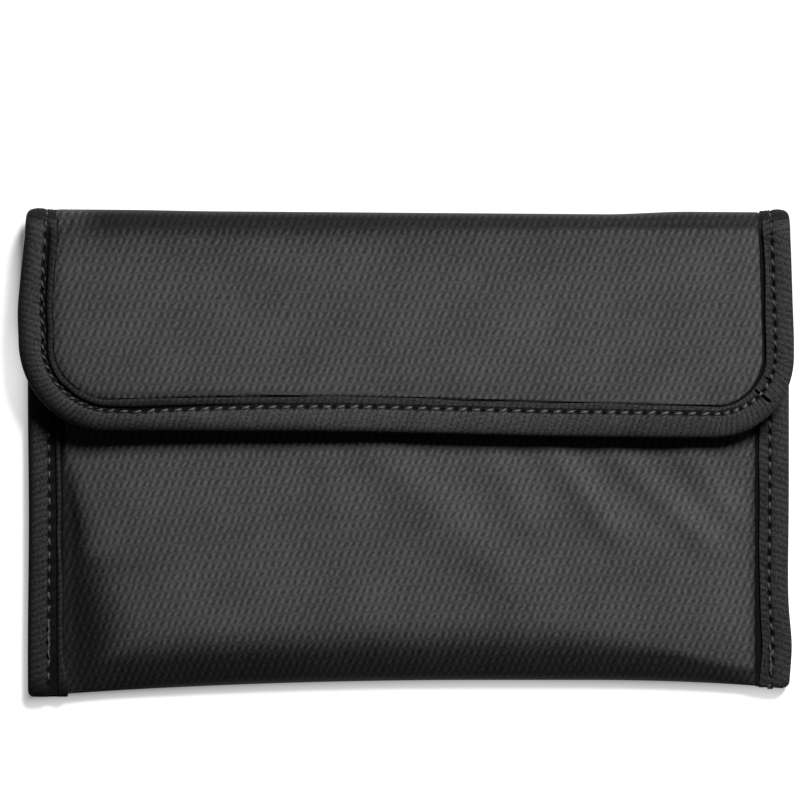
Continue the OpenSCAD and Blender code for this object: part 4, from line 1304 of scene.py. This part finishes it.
def make_fold_tape(side, word):
    """Tape over an end of the fold, between the side tape and the flap's tape."""
    end = 0.0 if side < 0 else 1.0
    before, after = np.array(SIDE_SEWING[side]), np.array(flap_sewing(end))
    rings, places, hollow = [], [], []
    for turn in np.radians(np.linspace(-90, 90, FOLD_TAPE_STEPS)):
        share = float(fold_share(turn))
        stitch, width, groove = before * (1 - share) + after * share
        groove *= float(ramp(abs(turn), *GROOVE_SPAN))
        run = -HINGE_Z * (math.pi / 2 - turn)
        spread = SIDE_GROOVE_W + (FLAP_GROOVE_W - SIDE_GROOVE_W) * share
        edge_painted_shade = by_share(FLAP_EDGE_SHADE, end)
        ring, deep = tape_ring(FLAP_TAPE_H, run, (stitch, width, groove), FLAP_PHASE, edge_painted_shade, spread)
        radius = HINGE_Z - FLAP_TAPE_H + ring[:, 1]
        y = HINGE_Y + (radius + FOLD_TAPE_OUT[side]) * math.cos(turn)
        crest = CREST_SHADE * ramp(y - HINGE_Y, *CREST_SHADE_SPAN)
        shade = np.maximum(LEFT_SHADE if side < 0 else RIGHT_SHADE, crest)
        hollow.append(np.maximum(deep, shade * (turn > SHADED_FROM)))
        x = side * (HALF_W + FOLD_BULGE[side] * share - ring[:, 0])
        rings.append(np.column_stack([x, y, HINGE_Z + radius * math.sin(turn)]))
        places.append(np.column_stack([np.full(len(ring), run), run_length(ring)]))
    piece = swept_ring(f"fold_tape_{word}", np.array(rings), np.array(places), binding_tape, hollow=hollow,
                       body=None, nodes=(f"fold_binding_{word}",), slot="binding_tape")
    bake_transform(piece)
    turns = np.radians(np.linspace(*FOLD_THREAD_SPAN, FOLD_THREAD_STEPS))
    away = np.column_stack([0 * turns, np.cos(turns), np.sin(turns)])
    share = fold_share(turns)
    line = np.array([0, HINGE_Y, HINGE_Z]) + away * (HINGE_Z - GROOVE - FOLD_THREAD_SUNK)
    line[:, 1] += FOLD_TAPE_OUT[side] * np.cos(turns)
    line[:, 0] = side * (HALF_W + FOLD_BULGE[side] * share - before[0] * (1 - share) - after[0] * share)
    thread = make_stitches(f"fold_thread_{word}", line, run_length(line), None, (), away,
                           shade_paint=lambda s: FOLD_THREAD_SHADE)
    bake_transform(thread)


def make_top_fold():
    foil_r, inner_r = FOLD_R - CLOTH_T - LAYER_GAP, FOLD_R - CLOTH_T - FOIL_T - INNER_GAP
    layers = (
        ("top_fold_outer", FOLD_R, CLOTH_T, outer_cloth, "top_fold_cloth", "outer_cloth"),
        ("top_fold_foil", foil_r, FOIL_T, shield_foil, "top_fold_shield", "shield_foil"),
        ("top_fold_inner", inner_r, LINING_T, lining_cloth, "top_fold_lining", "lining_cloth"),
    )
    for name, radius, thickness, material, node, slot in layers:
        grid, run, seam = fold_grid(radius)
        # painted shade in the seams and over the top fold
        shade_paint = np.maximum(seam, fold_painted_shade(grid[:, :, 0], HINGE_Y - grid[:, :, 1]))
        shade_paint = shade_paint * ramp(grid[:, :, 2] - HINGE_Z, *FOLD_DARK_SPAN)
        piece = cloth_sheet(name, grid, run, thickness, material, hollow=shade_paint, body=None, nodes=(node,),
                            slot=slot)
        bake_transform(piece)
    make_fold_tape(-1, "left")
    make_fold_tape(1, "right")


# Inside and closure
POCKET_CLEAR = 2.0           # how far the pocket's wall stays inside the bottom fold
# Flat sheets: name, CAD node, material, slot, step of their grid and unevenness
INNER_SHEETS = (
    ("pocket_wall", "pocket_panel", lining_cloth, "lining_cloth", 2.0, 0.04),
    ("zip_facing_cloth", "zip_facing", lining_cloth, "lining_cloth", 1.0, 0.04),
    ("card_pocket_upper", "card_strip_upper", lining_cloth, "lining_cloth", 2.0, 0.04),
    ("card_pocket_lower", "card_strip_lower", lining_cloth, "lining_cloth", 2.0, 0.04),
    ("zip_band_upper", "zip_tape_upper", zip_tape, "binding_tape", 1.0, 0.02),
    ("zip_band_lower", "zip_tape_lower", zip_tape, "binding_tape", 1.0, 0.02),
)


def make_inside():
    for name, node, material, slot, step, wave in INNER_SHEETS:
        low, high = cad(node)
        wide, tall, thick = high - low
        x, y = np.meshgrid(np.linspace(low[0], high[0], int(wide / step) + 2),
                           np.linspace(high[1], low[1], int(tall / step) + 3))
        lowest = np.maximum(low[1], bottom_edge(x) + POCKET_CLEAR)
        y = high[1] - (high[1] - y) * (high[1] - lowest) / tall
        z = high[2] + wave * np.sin(x / 13.0 + y / 7.0) * np.sin(y / 17.0 + x / 31.0 + 1.0)
        piece = cloth_sheet(name, np.stack([x, y, z], 2), np.stack([x, -y], 2), thick, material, body="pouch",
                            nodes=(node,), slot=slot)


COIL_PITCH, COIL_WIRE = 1.4, 0.26    # distance between two links of the coil, and radius of its wire
COIL_REACH, COIL_LEAN = 0.30, 0.22   # how far a link reaches past the zip's middle, and how far it leans
COIL_JOINTS, COIL_SIDES = 12, 6      # points round a link and round its wire
COIL_FROM, COIL_TO = 0.3, 0.6        # distances of the first and the last link from the row's ends


def make_coil(side, word):
    """One row of coil links, each a bent loop reaching past the middle of the zip."""
    node = f"zip_coil_{word}"
    low, high = cad(node)
    middle = (cad("zip_coil_upper")[0][1] + cad("zip_coil_lower")[1][1]) / 2
    outer = high[1] if side > 0 else low[1]
    centre_y, centre_z = (outer + middle - side * COIL_REACH) / 2, (low[2] + high[2]) / 2
    half_y = abs(outer - middle + side * COIL_REACH) / 2 - COIL_WIRE
    half_z = (high[2] - low[2]) / 2 - COIL_WIRE
    turns = np.linspace(0, TURN, COIL_JOINTS, endpoint=False)
    bag = Bag()
    start = low[0] + COIL_WIRE + (COIL_PITCH / 2 if side > 0 else 0) + COIL_FROM
    for i in range(int((high[0] - start - COIL_TO) / COIL_PITCH) + 1):
        link_x = start + i * COIL_PITCH + COIL_LEAN * np.sin(turns)
        link = np.column_stack([link_x, centre_y + half_y * np.cos(turns), centre_z + half_z * np.sin(turns)])
        bag.tube(link, COIL_WIRE, (1, 0, 0), sides=COIL_SIDES, closed=True)
    bag.piece(f"coil_links_{word}", coil_plastic, "pouch", (node,), "coil_plastic")


OVAL_STEPS = 40
BEVEL_SHARE = 0.3            # where a plate's bevel has its middle point


def oval(centre, half, power, taper):
    """Rounded outline in the XY plane, narrower towards its low X end by the taper."""
    turns = np.linspace(0, TURN, OVAL_STEPS, endpoint=False)
    c, s = np.cos(turns), np.sin(turns)
    x = np.sign(c) * np.abs(c) ** (2 / power)
    y = np.sign(s) * np.abs(s) ** (2 / power) * (1 - taper * (1 - x) / 2)
    return np.column_stack([centre[0] + half[0] * x, centre[1] + half[1] * y])


def slab(bag, centre, half, z_low, z_high, bevel, power=2.6, taper=0.0):
    """A plate with rounded edges."""
    part = bevel * BEVEL_SHARE
    rings = []
    for z, inset in ((z_low, bevel), (z_low + part, part), (z_low + bevel, 0),
                     (z_high - bevel, 0), (z_high - part, part), (z_high, bevel)):
        ring = oval(centre, (half[0] - inset, half[1] - inset), power, taper)
        rings.append(np.column_stack([ring, np.full(len(ring), z)]))
    bag.loft(rings)


def cad_middle(node):
    """Middle and half size of a CAD node."""
    low, high = cad(node)
    return (low + high) / 2, (high - low) / 2


SLIDER_TAPER = -0.25         # the slider is wider towards its low X end
PLATE_CLEAR, UNDER_T = 0.1, 0.75     # gap between coil and upper plate, and thickness of the lower plate
PLATE_BEVEL, UNDER_BEVEL = 0.35, 0.3
WEDGE_IN, WEDGE_HALF = 1.4, (1.2, 0.35)   # distance of the wedge from the slider's end, and its half size
WEDGE_SPAN, WEDGE_BEVEL = (0.5, 0.4), 0.1  # its start above the slider's base, its end above the coil
RAIL_IN, RAIL_HALF, RAIL_SHARE = 0.45, 0.35, 0.7   # distance of its rails from its sides, half width, length
RAIL_SPAN, RAIL_BEVEL = (-0.7, 0.5), 0.15  # their heights from the coil's top
BAIL_H, BAIL_HALF, BAIL_R = 2.2, 2.6, 0.55   # height, half length and radius of the arch above the slider
BAIL_STEPS, BAIL_SIDES, BAIL_SUNK, BAIL_CLEAR = 17, 10, 0.3, 0.25
STOP_HALF, STOP_BEVEL = 0.85, 0.3    # half length and rounding of the zip's end stops
TAB_BEVEL, TAB_POWER = 0.25, 5.0     # rounding and squareness of the pull tab


def make_zip_metal():
    low, high = cad("zip_slider")
    coil_top = cad("zip_coil_lower")[1][2]
    centre, half = cad_middle("zip_slider")
    plate_top = high[2] - BAIL_H
    slider = Bag()
    slab(slider, centre, half, coil_top + PLATE_CLEAR, plate_top, PLATE_BEVEL, taper=SLIDER_TAPER)
    slab(slider, centre, half, low[2], low[2] + UNDER_T, UNDER_BEVEL, taper=SLIDER_TAPER)
    wedge = (high[0] - WEDGE_IN, centre[1])
    slab(slider, wedge, WEDGE_HALF, low[2] + WEDGE_SPAN[0], coil_top + WEDGE_SPAN[1], WEDGE_BEVEL)
    for side in (-1, 1):
        slab(slider, (centre[0], centre[1] + side * (half[1] - RAIL_IN)), (half[0] * RAIL_SHARE, RAIL_HALF),
             coil_top + RAIL_SPAN[0], coil_top + RAIL_SPAN[1], RAIL_BEVEL)
    arch = np.linspace(0, np.pi, BAIL_STEPS)
    rise = plate_top - BAIL_SUNK + (BAIL_H - BAIL_CLEAR) * np.sin(arch) ** 0.6
    bail = np.column_stack([centre[0] + BAIL_HALF * np.cos(arch), np.full(BAIL_STEPS, centre[1]), rise])
    slider.tube(bail, BAIL_R, (0, 1, 0), sides=BAIL_SIDES)
    slider.piece("slider_body", zip_metal, "slider", ("zip_slider",), "zip_metal")
    stops = Bag()
    low, high = cad("zip_stops")
    centre, half = cad_middle("zip_stops")
    for side in (-1, 1):
        place = (side * (high[0] - STOP_HALF), centre[1])
        slab(stops, place, (STOP_HALF, half[1]), low[2], high[2], STOP_BEVEL)
    stops.piece("end_stops", zip_metal, "pouch", ("zip_stops",), "zip_metal")


def make_puller():
    low, high = cad("zip_puller")
    tab = Bag()
    slab(tab, *cad_middle("zip_puller"), low[2], high[2], TAB_BEVEL, power=TAB_POWER)
    tab.piece("pull_tab", zip_tape, "slider", ("zip_puller",), "binding_tape")


LOOP_T, LOOP_SKIN, LOOP_ROUND = 0.8, 0.03, 0.3   # thickness of the loop's tape, its clearance and rounding
LOOP_SPAN, LOOP_STEPS, TAIL_STEPS = (-90, 258), 48, 12   # turns in degrees, steps of the eye and of the tail


def make_cord_loops():
    """Tape loops in the tunnel of the top fold, each with a sewn-down tail."""
    for word in ("left", "right"):
        low, high = cad(f"cord_loop_{word}")
        radius = (high[2] - low[2]) / 2
        eye_y, eye_z = high[1] - radius, low[2] + radius
        middle = radius - LOOP_T / 2
        tail_y = np.linspace(low[1], eye_y, TAIL_STEPS)
        tail = np.column_stack([tail_y, np.full(TAIL_STEPS, low[2] + LOOP_T / 2)])
        turns = np.radians(np.linspace(*LOOP_SPAN, LOOP_STEPS))[1:]
        eye = np.column_stack([eye_y + middle * np.cos(turns), eye_z + middle * np.sin(turns)])
        path = np.concatenate([tail, eye])
        tangent = np.gradient(path, axis=0)
        tangent /= np.linalg.norm(tangent, axis=1, keepdims=True)
        normal = np.column_stack([-tangent[:, 1], tangent[:, 0]])
        w, t = (high[0] - low[0]) / 2, LOOP_T / 2 - LOOP_SKIN
        lower = [(-w, -t * 0.4), (-w + LOOP_ROUND, -t), (0, -t), (w - LOOP_ROUND, -t), (w, -t * 0.4)]
        section = lower + [(a, -b) for a, b in lower[::-1]]
        centre_x = (low[0] + high[0]) / 2
        rings = np.array([[(centre_x + a, p[0] + n[0] * b, p[1] + n[1] * b) for a, b in section]
                          for p, n in zip(path, normal)])
        places = np.array([[(s, a) for a, b in section] for s in run_length(path)])
        swept_ring(f"cord_tab_{word}", rings, places, binding_tape, body="pouch",
                   nodes=(f"cord_loop_{word}",), slot="binding_tape")


STRIP_BASE = 0.4             # thickness of the closure strips without their loops and hooks
STRIP_COLS, STRIP_ROWS = 200, 30
NAP, NAP_SWING, NAP_EDGE = 0.45, 0.08, 1.2   # height of the loops, its unevenness, and length of its edges
HOOK_CLEAR = 0.25            # gap between the flap's lining and the hook strip
HOOK_PITCH, HOOK_R, HOOK_SIDES = 1.6, 0.13, 5
HOOK_FROM, HOOK_TO, HOOK_SHIFT = 1.5, 1.4, 0.4   # margins of the hooks, and shift of every second row
# A hook's stem as places along X and heights from the strip's face
HOOK_SHAPE = ((0.0, 0.1), (0.0, -0.25), (0.12, -0.42), (0.38, -0.40), (0.46, -0.24))


def make_closure():
    low, high = cad("loop_strip")
    x, y = np.meshgrid(np.linspace(low[0], high[0], STRIP_COLS), np.linspace(high[1], low[1], STRIP_ROWS))
    run = np.stack([x, -y], 2)
    inside = np.minimum(np.minimum(x - low[0], high[0] - x), np.minimum(y - low[1], high[1] - y))
    nap = NAP + NAP_SWING * np.sin(x * 3.1 + y * 1.7) * np.sin(y * 2.7 - x * 1.1)
    nap = nap * smooth(inside / NAP_EDGE)
    face = np.stack([x, y, front_height(x, y) + STRIP_BASE + nap], 2)
    strip = cloth_sheet("soft_strip", face, run, STRIP_BASE, loop_nap, body="pouch", nodes=("loop_strip",),
                        slot="hook_and_loop")
    level = FLAP_TOP - BELOW_TAPE - CLOTH_T - FOIL_T - LINING_T - 2 * LAYER_GAP - HOOK_CLEAR
    face = np.stack([x, y, level - flap_down(x, y)], 2)
    base = cloth_sheet("hook_base", face, run, STRIP_BASE, hook_plastic, body="flap", nodes=("hook_strip",),
                       slot="hook_and_loop")
    hooks = Bag()
    for i, hx in enumerate(np.arange(low[0] + HOOK_FROM, high[0] - HOOK_TO, HOOK_PITCH)):
        for hy in np.arange(low[1] + HOOK_FROM + HOOK_SHIFT * (i % 2), high[1] - HOOK_TO, HOOK_PITCH):
            top = level - STRIP_BASE - float(flap_down(hx, hy))
            hooks.tube([(hx + a, hy, top + b) for a, b in HOOK_SHAPE], HOOK_R, (0, 1, 0), sides=HOOK_SIDES)
    hooks.piece("hook_field", hook_plastic, "flap", (), "hook_and_loop")


make_body()
make_inside()
make_coil(1, "upper")
make_coil(-1, "lower")
make_zip_metal()
make_puller()
make_cord_loops()
make_closure()
make_top_fold()
make_flap()
make_flap_binding()
make_side_bindings()

# Floor, light and camera, with lengths in metres
FLOOR_HALF, FLOOR_Z = 3.0, -0.0002
FLOOR_GREY, FLOOR_ROUGH, FLOOR_SHINE = 0.82, 0.9, 0.1
FLOOR_GLOW = 0.82            # share of white the floor gives itself near the pouch
GLOW_SPAN = (0.20, 0.75)     # distances from the middle over which that grows to full white
CONTACT_SHADOW = 0.64               # painted contact shadow: how much less glow the floor gives where the pouch touches it
CONTACT_SHADOW_REACH = 0.0026       # distance over which that dies out
FLAP_WIDER = 0.0028          # how far the flap stands out beside the body
FLAP_WIDER_SPAN = (0.022, 0.038)     # places along Y between which it comes to stand out
FOOT = (-0.0679, 0.0155, -0.275)     # the bottom's outline: its middle, its slope and its bend along X


def painted_contact_shadow(tree, position):
    """Painted contact shadow on the floor close to the pouch's outline."""
    x, y, _ = split_node(tree, position)
    wider = range_node(tree, y, FLAP_WIDER_SPAN, (0.0, FLAP_WIDER))
    beside = math_node(tree, "SUBTRACT", math_node(tree, "ABSOLUTE", x), HALF_W * MM)
    beside = math_node(tree, "MAXIMUM", math_node(tree, "SUBTRACT", beside, wider), 0.0)
    bend = math_node(tree, "ADD", math_node(tree, "MULTIPLY", x, FOOT[2]), FOOT[1])
    foot = math_node(tree, "ADD", math_node(tree, "MULTIPLY", x, bend), FOOT[0])
    below = math_node(tree, "SUBTRACT", foot, y)
    above = math_node(tree, "SUBTRACT", y, (HINGE_Y + FOLD_R) * MM)
    along = math_node(tree, "MAXIMUM", math_node(tree, "MAXIMUM", below, above), 0.0)
    beside, along = (math_node(tree, "POWER", gap, 2.0) for gap in (beside, along))
    gap = math_node(tree, "SQRT", math_node(tree, "ADD", beside, along))
    gap = math_node(tree, "DIVIDE", gap, -CONTACT_SHADOW_REACH)
    return math_node(tree, "MULTIPLY", math_node(tree, "EXPONENT", gap), CONTACT_SHADOW)


def make_floor():
    mesh = bpy.data.meshes.new("floor")
    corners = [(a * FLOOR_HALF, b * FLOOR_HALF, 0) for a, b in ((-1, -1), (1, -1), (1, 1), (-1, 1))]
    mesh.from_pydata(corners, [], [(0, 1, 2, 3)])
    floor = bpy.data.objects.new("floor", mesh)
    floor.location.z = FLOOR_Z
    bpy.context.scene.collection.objects.link(floor)
    material = bpy.data.materials.new("floor_white")
    material.use_nodes = True
    tree = material.node_tree
    shader = tree.nodes["Principled BSDF"]
    shader.inputs["Base Color"].default_value = (FLOOR_GREY, FLOOR_GREY, FLOOR_GREY, 1)
    shader.inputs["Roughness"].default_value = FLOOR_ROUGH
    shader.inputs["Specular IOR Level"].default_value = FLOOR_SHINE
    rays = tree.nodes.new("ShaderNodeLightPath").outputs
    seen = math_node(tree, "ADD", rays["Is Camera Ray"], rays["Is Glossy Ray"])
    seen = math_node(tree, "ADD", seen, rays["Is Transmission Ray"], clamp=True)
    position = tree.nodes.new("ShaderNodeNewGeometry").outputs["Position"]
    far = tree.nodes.new("ShaderNodeVectorMath")
    far.operation = "LENGTH"
    tree.links.new(position, far.inputs[0])
    away = range_node(tree, far.outputs["Value"], GLOW_SPAN, (FLOOR_GLOW, 1.0))
    near = painted_contact_shadow(tree, position)
    glow = math_node(tree, "MULTIPLY", seen, math_node(tree, "SUBTRACT", away, near))
    shader.inputs["Emission Color"].default_value = (1, 1, 1, 1)
    tree.links.new(glow, shader.inputs["Emission Strength"])
    mesh.materials.append(material)


LAMP_REACH, LAMP_WAY = 1.6, (0.34, 0.62, 0.70)   # distance of the key light and the way towards it
LAMP_SIZE, LAMP_POWER = 0.60, 39
FILL = 0.03                  # light that comes from all round
CAMERA_REACH, SENSOR_MM = 1.6, 36.0  # the camera's distance above the front, and width of its sensor


def make_light():
    world = bpy.data.worlds.new("studio")
    bpy.context.scene.world = world
    world.use_nodes = True
    tree = world.node_tree
    path = tree.nodes.new("ShaderNodeLightPath")
    mix = tree.nodes.new("ShaderNodeMixRGB")
    mix.inputs[1].default_value = (FILL, FILL, FILL, 1)
    mix.inputs[2].default_value = (1, 1, 1, 1)
    tree.links.new(path.outputs["Is Camera Ray"], mix.inputs[0])
    tree.links.new(mix.outputs[0], tree.nodes["Background"].inputs["Color"])
    light = bpy.data.lights.new("key", "AREA")
    light.shape = "DISK"
    light.size = LAMP_SIZE
    light.energy = LAMP_POWER
    lamp = bpy.data.objects.new("key", light)
    bpy.context.scene.collection.objects.link(lamp)
    lamp.location = Vector(LAMP_WAY).normalized() * LAMP_REACH
    lamp.rotation_euler = (-lamp.location).to_track_quat("-Z", "Y").to_euler()


def make_camera():
    data = bpy.data.cameras.new("camera")
    data.sensor_width = SENSOR_MM
    data.lens = SENSOR_MM * CAMERA_REACH / (IMAGE_PX * PIXEL * MM)
    camera = bpy.data.objects.new("camera", data)
    bpy.context.scene.collection.objects.link(camera)
    x, y = photo_place((IMAGE_PX / 2, IMAGE_PX / 2)) * MM
    camera.location = (x, y, FRONT_TOP * MM + CAMERA_REACH)
    bpy.context.scene.camera = camera


make_floor()
make_light()
make_camera()
bpy.context.scene.view_settings.view_transform = "Standard"
